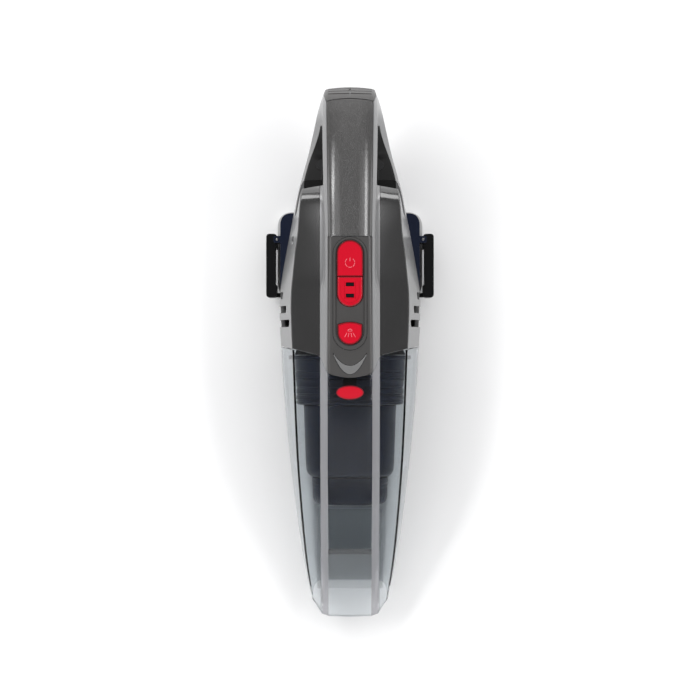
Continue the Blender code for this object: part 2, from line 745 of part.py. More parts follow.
def switches():
    bezel = key_top("switch_bezel", pill(*BEZEL), TRIM_GREY, low=3.2, high=0.5)
    cut(bezel, plate("switch_hole", pill(*SWITCH, GAP), 90, 130),
        plate("light_hole", light_outline(GAP), 90, 130))
    power = key_top("power_button", switch_outline(SWITCH_SPLIT + GAP / 2, 200, 0), RED)
    mode = key_top("mode_button", switch_outline(-200, SWITCH_SPLIT - GAP / 2, 0), RED)
    light = key_top("light_button", light_outline(0), RED)
    for number, y in enumerate(WINDOWS_Y, start=1):
        cut(mode, block("window_hole_%d" % number, (-3, y - 1.4, 100), (3, y + 1.4, 130)))
        window = key_top("indicator_window_%d" % number, rounded_box(-2.7, y - 1.1, 2.7, y + 1.1, 0.5, 2),
                         BLACK, low=3.0, high=-0.6, y0=30.0, y1=70.0)
        carry("indicator_window_%d_slide" % number, (0, y, 108), window)
    carry("power_button_slide", (0, 72, 113), power)
    carry("mode_button_slide", (0, 48, 110), mode)
    carry("light_button_slide", (0, 18, 107), light)
    slope = math.atan2(value(TOP_Z, 84) - value(TOP_Z, 16), 68)
    for name, below, half, thick, mat in (("button_membrane", 7.4, 13, 1.4, RUBBER),
                                          ("circuit_board", 10.6, 14, 1.6, BOARD)):
        ob = block(name, (-half, -33, -thick / 2), (half, 33, thick / 2), mat)
        ob.rotation_euler = (slope, 0, 0)
        ob.location = Vector((0, 50, value(TOP_Z, 50) - below)) * MM
    key_top("led_lens", lens_outline(0), CLEAR, low=3.6, high=0.2)
    rod("led_lamp", (0, -9, 96.6), (0, -3, 96.6), 2.4, PALE, 12)


# ---- motor and fan ---------------------------------------------------------------------------------
def motor():
    bulkhead = hull("bulkhead", WALL + 0.4, 7, 11, BLACK)
    cut(bulkhead, rod("air_hole", (0, 0, MOTOR_Z - 6), (0, 20, MOTOR_Z - 6), 24, sides=28))
    cut(bulkhead, block("lamp_clearance", (-24, 0, 94), (24, 20, 120)))
    turned("impeller_shroud", ring_profile(13, 34, 2), (0, 13.8, MOTOR_Z), NAVY)
    mount = hull("motor_mount", WALL + 0.4, 29, 32, BLACK)
    cut(mount, block("board_clearance", (-60, 20, 92), (60, 40, 130)),
        rod("bearing_hole", (0, 20, MOTOR_Z), (0, 40, MOTOR_Z), 6, sides=20))
    for i in range(6):
        angle = math.pi / 3 * i
        x = 24 * math.cos(angle)
        z = MOTOR_Z + 24 * math.sin(angle)
        cut(mount, rod("air_slot_%d" % i, (x, 20, z), (x, 40, z), 4.6, sides=12))
    turned("motor_can", ring_profile(3.2, 18, 37), (0, 32.6, MOTOR_Z), STEEL)
    bell = ((3.2, 8), (12, 8), (17.4, 5), (17.4, 0), (3.2, 0), (3.2, 8))
    turned("motor_end_bell", bell, (0, 70, MOTOR_Z), BLACK)
    shaft = rod("motor_shaft", (0, 17, MOTOR_Z), (0, 81, MOTOR_Z), 2.4, STEEL, 12)
    impeller = turned("impeller", ((2.8, 9.4), (6, 9.4), (6, 1.4), (30, 1.4), (30, 0), (2.8, 0), (2.8, 9.4)),
                      (0, 17.6, MOTOR_Z), NAVY)
    impeller.rotation_euler = (math.pi / 2, 0, 0)
    impeller.location = Vector((0, 27, MOTOR_Z)) * MM
    for i in range(9):
        blade = block("blade_%d" % i, (5, -8.4, -0.6), (29.4, -1, 0.6))
        turn = Matrix.Rotation(2 * math.pi * i / 9, 4, "Y")
        lean = Matrix.Translation((0, 0, 0.006)) @ Matrix.Rotation(math.radians(-14), 4, "Y")
        blade.data.transform(Matrix.Translation((0, 0.027, MOTOR_Z * MM)) @ turn @ lean)
        join(impeller, blade)
    carry("rotor_axis", (0, 40, MOTOR_Z), shaft, impeller)
    rod("charging_socket", (0, 187, 82), (0, 199.4, 82), 3.9, BLACK, 20)
    cut(bpy.data.objects["charging_socket"], rod("socket_bore", (0, 190, 82), (0, 205, 82), 2.4))


# ---- bin and filter ----------------------------------------------------------------------------------
def mouth_cutter(back):
    """Everything in front of the slanted nozzle mouth, moved back by back."""
    slope = MOUTH_SET_BACK / MOUTH_TOP
    low, high = -12, MOUTH_TOP + 14
    outline = ((NOZZLE + back + slope * (MOUTH_TOP - high), high), (NOZZLE - 60, high), (NOZZLE - 60, low),
               (NOZZLE + back + slope * (MOUTH_TOP - low), low))
    return plate("mouth_%d" % back, outline, -70, 70, along="X")


def dust_bin():
    ob = hull("dust_bin", 0.0, -204, 20, CLEAR)
    cut(ob, hull("bin_inside", BIN_WALL, -210, 30), seam_cutter(False, -0.4), mouth_cutter(0),
        plate("release_hole", oval(*RELEASE_SIZE, RELEASE_Y, GAP), 90, 130))
    button = key_top("bin_release_button", oval(*RELEASE_SIZE, RELEASE_Y), RED, low=4.2, y0=-60.0, y1=0.0)
    latch = block("bin_latch", (-5, -30, 95.4), (5, -11.5, 97.2), BLACK)
    join(latch, block("latch_nose", (-5, -14, 97), (5, -11.5, 98.6)))
    carry("bin_release_slide", (0, RELEASE_Y, 100), button, latch)
    duct = duct_loft("intake_duct", 0.0, -178, -116, CLEAR)
    cut(duct, duct_loft("duct_inside", 1.6, -182, -112), mouth_cutter(3))
    hinge = (-150, 23.6)
    pin = rod("flap_pin", (-22.8, *hinge), (22.8, *hinge), 0.8, STEEL, 10)
    flap = block("inlet_flap", (-21, hinge[0] - 0.6, 6), (21, hinge[0] + 0.6, hinge[1]), RUBBER)
    join(flap, rod("flap_knuckle", (-21, *hinge), (21, *hinge), 1.9, sides=12))
    cut(flap, rod("flap_bore", (-30, *hinge), (30, *hinge), 1.1, sides=12))
    carry("inlet_flap_hinge", (0, *hinge), flap)
    carry("dust_bin_slide", (0, 0, 50), ob, duct, pin)


def duct_loft(name, inset, y0, y1, mat=None):
    """Rounded box section that grows from the nozzle towards the bin."""
    rings = []
    for y in (y0, (y0 + y1) / 2, y1):
        top = 25 + 8 * (y + 178) / 62
        section = rounded_box(-25 + inset, 2.7 + inset, 25 - inset, top - inset, 5 - inset)
        rings.append([(x, y, z) for x, z in section])
    return loft(name, rings, mat)


def filters():
    z = FILTER_Z
    frame = loft("filter_frame", [oval_ring(2, 45, 42, z), oval_ring(-1, 45, 42, z), oval_ring(-1.1,
                                                                                               41.5, 39, z),
                                  oval_ring(-16, 41.5, 39, z), oval_ring(-17.5, 40.5, 38, z),
                                  oval_ring(-35, 40, 37, z - 0.5)], NAVY)
    cut(frame, loft("frame_inside", [oval_ring(10, 36, 33, z), oval_ring(-40, 36, 33, z)]))
    cup = loft("filter_cup", [oval_ring(-35.4, 34.8, 30.5, z - 1), oval_ring(-82, 33.2, 28.5, z - 5),
                              oval_ring(-87.5, 32, 27.5, z - 5.4), oval_ring(-90, 28.5, 24, z - 5.6)], NAVY)
    cut(cup, loft("cup_inside", [oval_ring(-30, 33, 28.7, z - 1), oval_ring(-82, 31.4, 26.7, z - 5),
                                 oval_ring(-88.2, 27, 23, z - 5.4)]))
    end = loft("filter_end_cap", [oval_ring(-90.4, 28.5, 23.5, z - 7), oval_ring(-106, 28, 23, z - 7.5),
                                  oval_ring(-111, 24.5, 19.5, z - 8)], NAVY)
    cut(end, loft("end_cap_inside", [oval_ring(-85, 26.7, 21.7, z - 7), oval_ring(-108.8, 25.6, 20.6,
                                                                                  z - 7.5)]))
    seal = loft("filter_seal", [oval_ring(6.6, 40.5, 37, z), oval_ring(2.4, 42, 38.5, z)], RUBBER)
    cut(seal, loft("seal_inside", [oval_ring(9, 37, 33.5, z), oval_ring(0, 37, 33.5, z)]))
    pleats = 20
    outline = []
    for i in range(2 * pleats):
        radius = 25 if i % 2 else 20
        angle = math.pi * i / pleats
        outline.append((radius * math.cos(angle), z - 3 + radius * math.sin(angle)))
    element = plate("hepa_element", outline, -72, -8, PAPER, along="Y")
    cut(element, rod("element_bore", (0, -60, z - 3), (0, 0, z - 3), 15, sides=20))
    carry("filter_slide", (0, -20, z), frame, cup, end, seal, element)


# ---- battery -------------------------------------------------------------------------------------------
def battery():
    case = plate("battery_case", rounded_box(-CASE_W, BAY_FRONT + 0.4, CASE_W, 111, 9, 4), BASE_TOP + GAP,
                 BAY_TOP - 0.4, NAVY)
    cut(case, plate("case_inside", rounded_box(-CASE_W + 2, BAY_FRONT + 2.4, CASE_W - 2, 109, 7), 0,
                    BAY_TOP - 2.6),
        block("case_connector_hole", (-9, 40, 14), (9, 52, 24)))
    base = plate("battery_base", rounded_box(-BASE_W, BAY_FRONT + 1, BASE_W, 113.8, 12, 4), 1.0,
                 BASE_TOP, PALE)
    moving = [case, base]
    for number, y in enumerate((59, 78.5, 98), start=1):
        moving.append(rod("battery_cell_%d" % number, (-32.5, y, 17.5), (32.5, y, 17.5), 9, CELL, 20))
    moving.append(block("battery_board", (-48, 54, 10), (-36, 104, 11.6), BOARD))
    moving.append(block("battery_connector", (-8.7, BAY_FRONT + 0.7, 14.3), (8.7, BAY_FRONT + 3.2,
                                                                             23.7), BLACK))
    block("bay_terminal", (-9.8, 39, 14), (9.8, BAY_FRONT - 0.2, 24), BLACK)
    for side, word in ((-1, "left"), (1, "right")):
        moving += latch(side, word, case)
        for end, y in (("front", 58), ("rear", 99)):
            foot = rod("foot_%s_%s" % (end, word), (side * 42, y, 0), (side * 42, y, 1.7), 5.5, RUBBER, 20)
            cut(base, rod("foot_seat_%s_%s" % (end, word), (side * 42, y, 0.5), (side * 42, y, 2.0),
                          5.8, sides=20))
            moving.append(foot)
    carry("battery_slide", (0, 80, 20), *moving)


def latch(side, word, case):
    """One squeeze latch on its upright pin, with its spring; also cuts the room it needs in the case."""
    def span(x0, x1):
        return sorted((side * x0, side * x1))

    plan = [(side * x, y) for x, y in rounded_box(56.4, BAY_FRONT + 0.5, 64.5, 95.5, 2.2)]
    if side < 0:
        plan = plan[::-1]
    body = plate(word + "_latch", plan, 9, 31, BLACK)
    x0, x1 = span(54.2, 60)
    join(body, block(word + "_latch_lug", (x0, LATCH_Y - 2.4, 9.4), (x1, LATCH_Y + 2.4, 30.6)))
    x0, x1 = span(52.4, 60)
    join(body, block(word + "_latch_hook", (x0, BAY_FRONT + 0.8, 14), (x1, BAY_FRONT + 4, 26)))
    axis_low = (side * LATCH_X, LATCH_Y, BASE_TOP + GAP)
    axis_high = (side * LATCH_X, LATCH_Y, 34.4)
    cut(body, rod(word + "_latch_bore", (side * LATCH_X, LATCH_Y, 0), (side * LATCH_X, LATCH_Y, 40),
                  1.3, sides=12))
    pin = rod(word + "_latch_pin", axis_low, axis_high, 1.0, STEEL, 10)
    x0, x1 = span(52, 58.8)
    lug = block(word + "_case_lug", (x0, LATCH_Y - 2.6, 31.6), (x1, LATCH_Y + 2.6, 34.4))
    join(case, lug)
    cut(case, rod(word + "_pin_hole", (side * LATCH_X, LATCH_Y, 30), (side * LATCH_X, LATCH_Y, 40), 1.3,
                  sides=12))
    x0, x1 = span(48.6, 60)
    cut(case, block(word + "_hook_room", (x0, BAY_FRONT - 2, 12), (x1, BAY_FRONT + 5.4, 28)))
    x0, x1 = span(50, 60)
    cut(case, rod(word + "_spring_room", (side * 50, 62, 20), (side * 60, 62, 20), 3.2, sides=12))
    spring = coil(word + "_latch_spring", (side * 50.4, 62, 20), (side * 55.8, 62, 20), 2.2, 0.35, 3, STEEL)
    carry(word + "_latch_hinge", (side * LATCH_X, LATCH_Y, 20), body)
    return [pin, spring]


# ---- assembly --------------------------------------------------------------------------------------------
def finger_rest():
    pad = plate("finger_rest_pad", oval(26, 7.6, 145.2), 64.6, 67.6, RUBBER)
    return round_edges(pad, 1.0, 2)


def main():
    housing_inside()
    _, seats = make_panels()
    _, well_seat = well_liner()
    seats.append(well_seat)
    housing_half("left_housing", -1, seats)
    housing_half("right_housing", 1, seats)
    screws()
    switches()
    motor()
    dust_bin()
    filters()
    battery()
    finger_rest()
    clean_cuts()


main()
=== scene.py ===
"""Looks of a cordless handheld vacuum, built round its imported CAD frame."""

import json
import math

import bmesh
import bpy
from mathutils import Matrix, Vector


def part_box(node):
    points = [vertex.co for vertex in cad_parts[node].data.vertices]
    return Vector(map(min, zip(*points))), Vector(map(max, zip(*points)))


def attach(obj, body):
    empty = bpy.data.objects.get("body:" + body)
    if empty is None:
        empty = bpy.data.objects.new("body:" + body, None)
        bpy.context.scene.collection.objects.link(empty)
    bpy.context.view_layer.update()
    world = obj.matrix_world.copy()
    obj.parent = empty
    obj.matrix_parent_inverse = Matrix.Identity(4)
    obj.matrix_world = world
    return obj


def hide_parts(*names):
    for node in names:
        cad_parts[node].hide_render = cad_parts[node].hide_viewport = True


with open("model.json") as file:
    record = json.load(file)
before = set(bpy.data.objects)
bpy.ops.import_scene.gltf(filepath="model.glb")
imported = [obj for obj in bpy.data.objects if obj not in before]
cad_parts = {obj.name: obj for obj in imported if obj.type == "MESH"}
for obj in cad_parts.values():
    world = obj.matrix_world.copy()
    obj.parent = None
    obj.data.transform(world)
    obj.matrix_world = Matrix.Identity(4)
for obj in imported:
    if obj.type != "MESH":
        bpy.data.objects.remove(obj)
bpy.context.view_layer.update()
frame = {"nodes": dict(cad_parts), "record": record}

# Lengths are in millimetres here, and become metres where a mesh is made.
MM = 0.001
GAP = 0.3
REAR = 200
PANEL = 1.8
SKIN = 3.0
BIN_WALL = 2.2
STEP = 3.0
GRIP_FRONT = 88.9
CAP_FRONT = 187.2
CAP_FRONT_W = 17.2
CAP_BOW = 2.0
REAR_BOW = 2.6
REAR_BOW_W = 19.5
FAR = 260              # beyond every end of the hull
ABOVE = 130            # above the hull's top
KEYS_Z = (90, ABOVE)   # a range that takes in the spine's top and what lies on it

# ---- the hull that shells, panels, keys and bin are cut from: (Y, value) -------------------------
TOP_Z = ((-204, 24.5), (-170, 44), (-140, 62), (-110, 77), (-85, 88), (-55, 97), (-15, 104), (40, 110),
         (90, 116), (130, 121), (160, 122.5), (176, 120.5), (187, 115), (194, 106), (200, 92))
BOTTOM_Z = ((-204, 0), (46, 0), (60, 20), (112, 38), (150, 48), (180, 64), (200, 76))
BOTTOM_W = ((-204, 22), (-150, 27), (-60, 32), (0, 36), (46, 38), (112, 34), (150, 26), (200, 15))
SIDE_W = ((-204, 27), (-188, 29.8), (-177, 32.4), (-154, 36.6), (-116, 41.8), (-70, 46.9), (-17, 51.5),
          (10, 53), (25, 53.8), (46, 54.2), (60, 52.4), (75, 49.8), (92, 46.6), (110, 42.9), (133, 37.8),
          (152, 32.5), (178, 26), (189, 22.7), (197, 19.6), (200, 18.4))
SIDE_Z = ((-204, 6), (-188, 10), (-140, 24), (-60, 40), (0, 45), (60, 49), (112, 52), (150, 55),
          (180, 70), (200, 82))
SHOULDER_W = ((-204, 26), (-188, 29), (-158, 33.6), (-114, 37.4), (-68, 40.2), (7, 42.8), (39, 43.7),
              (48, 43.5), (61, 42.2), (80, 40.2), (92, 38.6), (122, 36.2), (133, 34.4), (144, 31.6),
              (175, 21.6), (190, 20.4), (200, 18))
SHOULDER_Z = ((-204, 9), (-188, 15.5), (-170, 27), (-140, 44), (-110, 58), (-85, 67.5), (-55, 76),
              (-15, 81.5), (46, 85.4), (52, 85.9), (56, 87.3), (62, 88.8), (72, 90), (90, 91.2), (108, 92),
              (115, 91.6), (121, 89), (127, 83), (131, 73), (134, 62.8), (150, 63.2), (172, 74), (186, 88),
              (200, 84.5))
FOOT_W = ((-204, 21.8), (46, 22), (53, 21.2), (61, 19.4), (72, 18.9), (90, 18.9), (118, 19.6),
          (133, 20.2), (176, 20.7), (190, 20), (200, 18))
FOOT_Z = ((-204, 21.2), (-170, 40.5), (-110, 71), (-55, 90.5), (-15, 96), (46, 99.4), (52, 99.7),
          (56, 100.9), (62, 102), (72, 102.3), (90, 101.6), (108, 100.4), (115, 99.4), (121, 96), (127, 89),
          (131, 78), (134, 63.8), (150, 64.2), (172, 76.5), (186, 91), (200, 86.5))
RIDGE_W = ((-204, 19.2), (40, 19), (62, 18.5), (90, 18.5), (118, 19.2), (176, 20.1), (190, 19.6),
           (200, 18))
RIDGE_DROP = ((-204, 1.4), (-15, 3.4), (40, 5), (90, 6.5), (118, 7), (187, 7), (200, 3.5))
TOP_W = ((-204, 16.4), (40, 16.1), (90, 15.5), (118, 15.8), (187, 17), (200, 16.4))
TOP_EDGE_DROP = 0.8
# corner roundings, from the belly's edge up to the edge of the top: (radius, segments)
ROUNDING = ((7, 4), (16, 6), (26, 8), (1.6, 3), (1.6, 3), (1.4, 3), (4.2, 5))
OPENING = ((136, 96.5), (130, 88), (108, 74), (104, 64), (152, 64), (172, 75.5), (181, 88), (177, 96.5))
OPENING_ROUND = 7
WELL_DEPTH = 2.4
WELL_SIDE = ((100, 50), (100, 70), (150, 70), (172, 84), (180, 84), (180, 50))
BAY = ((46, -12), (260, -12), (260, 28), (112, 37), (104, 36), (46, 36))
SEAM = ((0, -14.3), (8, -13.4), (16.4, -10.5), (22.3, 1), (31, 3.9), (43, 6.9), (60, 11))
BEZEL = (12.3, 6.0, 88.0)
SWITCH = (9.4, 37.6, 85.5)
SWITCH_SPLIT = 59.7
LIGHT = (8.8, 10.1, 26.3)
WINDOWS_Y = (45.6, 53.8)
RELEASE = (10.1, 5.05, -25.2)
LENS_HALF = 12.0
LENS_EDGES = ((-11.8, 14.0, -1), (-5.6, 8.6, 1))    # parabolas: (Y in the middle, rise, way out)
WINDOW_HALF = (3.0, 1.4)
POWER_MARK_Y = 69.5
LAMP_MARK_Y = 19.8
# exhaust slots: (Y, lowest Z, highest Z)
VENTS = ((47, 36, 62), (36.5, 35, 71), (26, 34, 79))
VENT_HALF = 2.7
VENT_LEAN = 3.0
SCREWS = ((88, 72), (186, 100), (22, 14), (129, 52))
SCREW_SINK = 3.5
MOUTH_SLOPE = 28 / 27
MOUTH_Z = 27
SOCKET_Z = 82
CASE_HALF = 53.5
PIN = (56.2, 91)
VIEW_HALF, VIEW_AT = 266, 1450    # half the picture's width at this distance from the camera
SCRAP = []


# ---- materials -----------------------------------------------------------------------------------
def new_material(name):
    made = bpy.data.materials.new(name)
    made.use_nodes = True
    return made, made.node_tree, made.node_tree.nodes["Principled BSDF"]


def node(tree, kind, settings=(), **inputs):
    made = tree.nodes.new("ShaderNode" + kind)
    for key, setting in dict(settings).items():
        setattr(made, key, setting)
    for key, given in inputs.items():
        socket = made.inputs[key.replace("_", " ")]
        if isinstance(given, bpy.types.NodeSocket):
            tree.links.new(given, socket)
        else:
            socket.default_value = given
    return made


def math_node(tree, operation, first, second=None):
    made = node(tree, "Math", {"operation": operation})
    for socket, given in zip(made.inputs, (first, second)):
        if isinstance(given, (int, float)):
            socket.default_value = given
        elif given is not None:
            tree.links.new(given, socket)
    return made.outputs[0]


def noise(tree, size_mm, detail=2.0, stretch=(1, 1, 1)):
    """Noise whose blobs are about size_mm wide, in the object's own space."""
    where = node(tree, "TexCoord")
    spaced = node(tree, "Mapping", Vector=where.outputs["Object"], Scale=tuple(1 / s for s in stretch))
    return node(tree, "TexNoise", Vector=spaced.outputs["Vector"], Scale=1 / (size_mm * MM), Detail=detail)


def shade(tree, factor, dark, light):
    """A colour that runs from dark to light with factor."""
    mixed = node(tree, "Mix", {"data_type": "RGBA"})
    tree.links.new(factor, mixed.inputs["Factor"])
    mixed.inputs[6].default_value = (*dark, 1)
    mixed.inputs[7].default_value = (*light, 1)
    return mixed.outputs[2]


def spread(tree, factor, low, high):
    return node(tree, "MapRange", Value=factor, To_Min=low, To_Max=high).outputs["Result"]


def scaled(colour, by):
    return tuple(min(1.0, c * by) for c in colour)


def feed(tree, shader, **outputs):
    """Links outputs to the shader's sockets: underscores in a name stand for spaces."""
    for socket, output in outputs.items():
        tree.links.new(output, shader.inputs[socket.replace("_", " ")])


def set_gloss(material, **values):
    """Sets sockets of the material's shader: underscores in a name stand for spaces."""
    for socket, given in values.items():
        material.node_tree.nodes["Principled BSDF"].inputs[socket.replace("_", " ")].default_value = given
    return material


def emboss(tree, shader, height, strength, distance):
    """Bump from a height, over a distance in metres."""
    raised = node(tree, "Bump", Height=height, Strength=strength, Distance=distance)
    feed(tree, shader, Normal=raised.outputs["Normal"])


def plastic(name, colour, roughness, grain=0.5, bump=0.08, mottle=0.07, coat=0.0, coat_rough=0.05):
    """Moulded plastic: grain in colour and bump, and a slow drift in roughness."""
    made, tree, shader = new_material(name)
    fine = noise(tree, grain, 3.0).outputs["Fac"]
    slow = noise(tree, 26.0, 2.0).outputs["Fac"]
    both = math_node(tree, "ADD", math_node(tree, "MULTIPLY", fine, 0.6),
                     math_node(tree, "MULTIPLY", slow, 0.4))
    feed(tree, shader, Base_Color=shade(tree, both, scaled(colour, 1 - mottle), scaled(colour, 1 + mottle)),
         Roughness=spread(tree, slow, roughness * 0.85, roughness * 1.15))
    emboss(tree, shader, fine, bump, 0.0002)
    return set_gloss(made, Coat_Weight=coat, Coat_Roughness=coat_rough)


def grained(name, colour, roughness, cell, bump):
    """Leather-like moulded grain with cells of about cell mm, for grip and rubber."""
    made, tree, shader = new_material(name)
    where = node(tree, "TexCoord")
    wander = noise(tree, cell * 2, 2.0)
    cells = node(tree, "TexVoronoi", {"feature": "DISTANCE_TO_EDGE"}, Scale=1 / (cell * MM))
    bent = node(tree, "VectorMath", {"operation": "ADD"})
    little = node(tree, "VectorMath", {"operation": "SCALE"}, Scale=cell * MM * 0.8)
    tree.links.new(wander.outputs["Color"], little.inputs[0])
    tree.links.new(where.outputs["Object"], bent.inputs[0])
    tree.links.new(little.outputs["Vector"], bent.inputs[1])
    tree.links.new(bent.outputs["Vector"], cells.inputs["Vector"])
    level = spread(tree, cells.outputs["Distance"], 0.0, 2.6)
    # The cells' edges, the grooves of the bump, are painted darker: painted shade in the grain's grooves.
    feed(tree, shader, Base_Color=shade(tree, level, scaled(colour, 0.62), scaled(colour, 1.25)),
         Roughness=spread(tree, wander.outputs["Fac"], roughness * 0.85, roughness * 1.15))
    emboss(tree, shader, level, bump, 0.0003)
    return made


def across(tree):
    """Distance from the middle plane, in metres, and the node with the other coordinates."""
    where = node(tree, "TexCoord")
    split = node(tree, "SeparateXYZ", Vector=where.outputs["Object"])
    return math_node(tree, "ABSOLUTE", split.outputs["X"]), split


def crowned(material, flat, bend):
    """Tilts a strip's surface outwards beyond the distance flat (mm), as if its edges were rounded off.

    Its coat fades out towards the rear, between 120 and 165 mm.
    """
    tree = material.node_tree
    shader = tree.nodes["Principled BSDF"]
    away, split = across(tree)
    past = math_node(tree, "MAXIMUM", math_node(tree, "SUBTRACT", away, flat * MM), 0.0)
    drop = math_node(tree, "MULTIPLY", math_node(tree, "MULTIPLY", past, past), -bend)
    crown = node(tree, "Bump", Height=drop, Strength=1.0, Distance=1.0)
    grain = shader.inputs["Normal"].links[0].from_node
    tree.links.new(crown.outputs["Normal"], grain.inputs["Normal"])
    fade = node(tree, "MapRange", {"interpolation_type": "SMOOTHSTEP"}, Value=split.outputs["Y"],
                From_Min=0.165, From_Max=0.12, To_Min=0.0, To_Max=1.0)
    feed(tree, shader, Coat_Normal=crown.outputs["Normal"], Coat_Weight=fade.outputs["Result"])
    return set_gloss(material, Coat_IOR=1.65, Coat_Roughness=0.16)


def flaked(name, colour, roughness):
    """Silver paint: fine flakes tilt the surface a little, under a clear coat."""
    made, tree, shader = new_material(name)
    flakes = noise(tree, 0.16, 0.0).outputs["Fac"]
    slow = noise(tree, 40.0, 2.0).outputs["Fac"]
    feed(tree, shader, Base_Color=shade(tree, flakes, scaled(colour, 0.86), scaled(colour, 1.14)),
         Roughness=spread(tree, slow, roughness * 0.9, roughness * 1.1))
    emboss(tree, shader, flakes, 0.06, 0.0001)
    return set_gloss(made, Metallic=0.55, Coat_Weight=0.35, Coat_Roughness=0.12)


def clear(name, colour, roughness, scratches):
    """Tinted see-through plastic with faint moulding haze."""
    made, tree, shader = new_material(name)
    haze = noise(tree, 14.0, 4.0, (1, 2.5, 1)).outputs["Fac"]
    feed(tree, shader, Base_Color=shade(tree, haze, scaled(colour, 0.96), scaled(colour, 1.04)),
         Roughness=spread(tree, haze, roughness * 0.7, roughness * 1.3))
    emboss(tree, shader, haze, scratches, 0.0006)
    return set_gloss(made, Transmission_Weight=1.0, IOR=1.3)


def painted_reflection_band(material, inner, outer, low, share):
    """Paints a reflection on a clear material: a paler, less clear band between two distances from the middle
    plane, above the height low (mm).
    """
    tree = material.node_tree
    shader = tree.nodes["Principled BSDF"]
    away, split = across(tree)
    inside = math_node(tree, "MULTIPLY", math_node(tree, "GREATER_THAN", away, inner * MM),
                       math_node(tree, "LESS_THAN", away, outer * MM))
    high = math_node(tree, "GREATER_THAN", split.outputs["Z"], low * MM)
    band = math_node(tree, "MULTIPLY", inside, high)
    mix = node(tree, "Mix", {"data_type": "RGBA"})
    tree.links.new(band, mix.inputs["Factor"])
    tree.links.new(shader.inputs["Base Color"].links[0].from_socket, mix.inputs[6])
    # The band's pale grey is a painted reflection of the bright room in the bin's chamfer faces.
    mix.inputs[7].default_value = (0.50, 0.50, 0.52, 1)
    feed(tree, shader, Base_Color=mix.outputs[2], Transmission_Weight=spread(tree, band, 1.0, 1.0 - share))
    return material


def brushed(name, colour, roughness):
    """Turned or rolled metal with fine streaks."""
    made, tree, shader = new_material(name)
    streaks = noise(tree, 0.4, 3.0, (1, 14, 1)).outputs["Fac"]
    feed(tree, shader, Base_Color=shade(tree, streaks, scaled(colour, 0.8), scaled(colour, 1.15)),
         Roughness=spread(tree, streaks, roughness * 0.7, roughness * 1.4))
    return set_gloss(made, Metallic=1.0)


def board_mask(name):
    """Green solder mask with copper runs showing through as lighter lines."""
    made, tree, shader = new_material(name)
    where = node(tree, "TexCoord")
    runs = node(tree, "TexBrick", Vector=where.outputs["Object"], Scale=160.0, Mortar_Size=0.04,
                Color1=(0.012, 0.09, 0.04, 1), Color2=(0.015, 0.11, 0.05, 1), Mortar=(0.05, 0.2, 0.09, 1))
    feed(tree, shader, Base_Color=runs.outputs["Color"],
         Roughness=spread(tree, noise(tree, 5.0).outputs["Fac"], 0.25, 0.45))
    return made


def paper(name):
    """Filter paper with long fibres."""
    made, tree, shader = new_material(name)
    fibres = noise(tree, 0.5, 5.0, (1, 4, 1)).outputs["Fac"]
    feed(tree, shader, Base_Color=shade(tree, fibres, (0.6, 0.59, 0.54), (0.8, 0.79, 0.75)))
    emboss(tree, shader, fibres, 0.4, 0.0002)
    return set_gloss(made, Roughness=0.9)


SILVER = flaked("silver_paint", (0.235, 0.235, 0.238), 0.30)
GLOSS = set_gloss(plastic("gloss_grey", (0.017, 0.0165, 0.0165), 0.2, 1.4, 0.01, 0.1, 1.0, 0.07), Coat_IOR=1.6)
# A darker, duller copy of the gloss grey for the finger well's lining: painted shade under the handle.
SHADED_GLOSS = set_gloss(plastic("gloss_painted_shade", (0.010, 0.0098, 0.0098), 0.4, 0.8, 0.05, 0.12), Specular_IOR_Level=0.2)
TRIM = plastic("trim_grey", (0.055, 0.053, 0.052), 0.34, 0.4, 0.08, 0.08)
GRIP = crowned(grained("grip_grain", (0.060, 0.058, 0.057), 0.36, 0.8, 0.8), 5.0, 22)
RED = set_gloss(plastic("red_gloss", (0.56, 0.003, 0.018), 0.25, 0.7, 0.03, 0.06, 0.35, 0.06),
                Specular_IOR_Level=0.25)
# A darker copy of the red for the keys' lower tiers: painted shade on their sloping sides.
SHADED_RED = plastic("red_painted_shade", (0.27, 0.002, 0.010), 0.3, 0.7, 0.03, 0.06, 0.2)
PRINT = plastic("pale_red_print", (0.85, 0.20, 0.24), 0.4, 0.3, 0.05, 0.08)
# Painted reflection: the bin's chamfer faces get a paler, less clear band.
SMOKED = painted_reflection_band(clear("smoked_clear", (0.76, 0.79, 0.81), 0.02, 0.01), 16.4, 21.8, 18, 0.42)
DUCT = set_gloss(plastic("duct_clear", (0.22, 0.24, 0.26), 0.1, 5.0, 0.0, 0.05), Alpha=0.14)
LENS = plastic("lens_frosted", (0.17, 0.17, 0.17), 0.25, 0.6, 0.05, 0.1, 0.5)
NAVY = set_gloss(plastic("navy_plastic", (0.007, 0.011, 0.027), 0.34, 6.0, 0.0, 0.1), Specular_IOR_Level=0.25)
BLACK = set_gloss(plastic("black_plastic", (0.0035, 0.0035, 0.004), 0.36, 0.4, 0.08, 0.2),
                  Specular_IOR_Level=0.2)
PALE = plastic("pale_plastic", (0.55, 0.55, 0.55), 0.4, 0.6, 0.08, 0.05)
RUBBER = grained("rubber", (0.018, 0.018, 0.019), 0.75, 0.7, 0.3)
STEEL = brushed("steel", (0.55, 0.55, 0.56), 0.28)
BOARD = board_mask("board")
PAPER = paper("filter_paper")
CELL = plastic("cell_sleeve", (0.03, 0.09, 0.26), 0.3, 0.8, 0.06, 0.08)

SLOT_MATERIALS = {"silver_shell": SILVER, "gloss_grey": GLOSS, "trim_grey": TRIM, "grip_grey": GRIP,
                  "red_plastic": RED, "smoked_clear": SMOKED, "clear_lens": LENS, "navy_plastic": NAVY,
                  "pale_grey": PALE, "black_plastic": BLACK, "rubber": RUBBER, "steel": STEEL,
                  "circuit_board": BOARD, "filter_paper": PAPER, "cell_wrap": CELL}


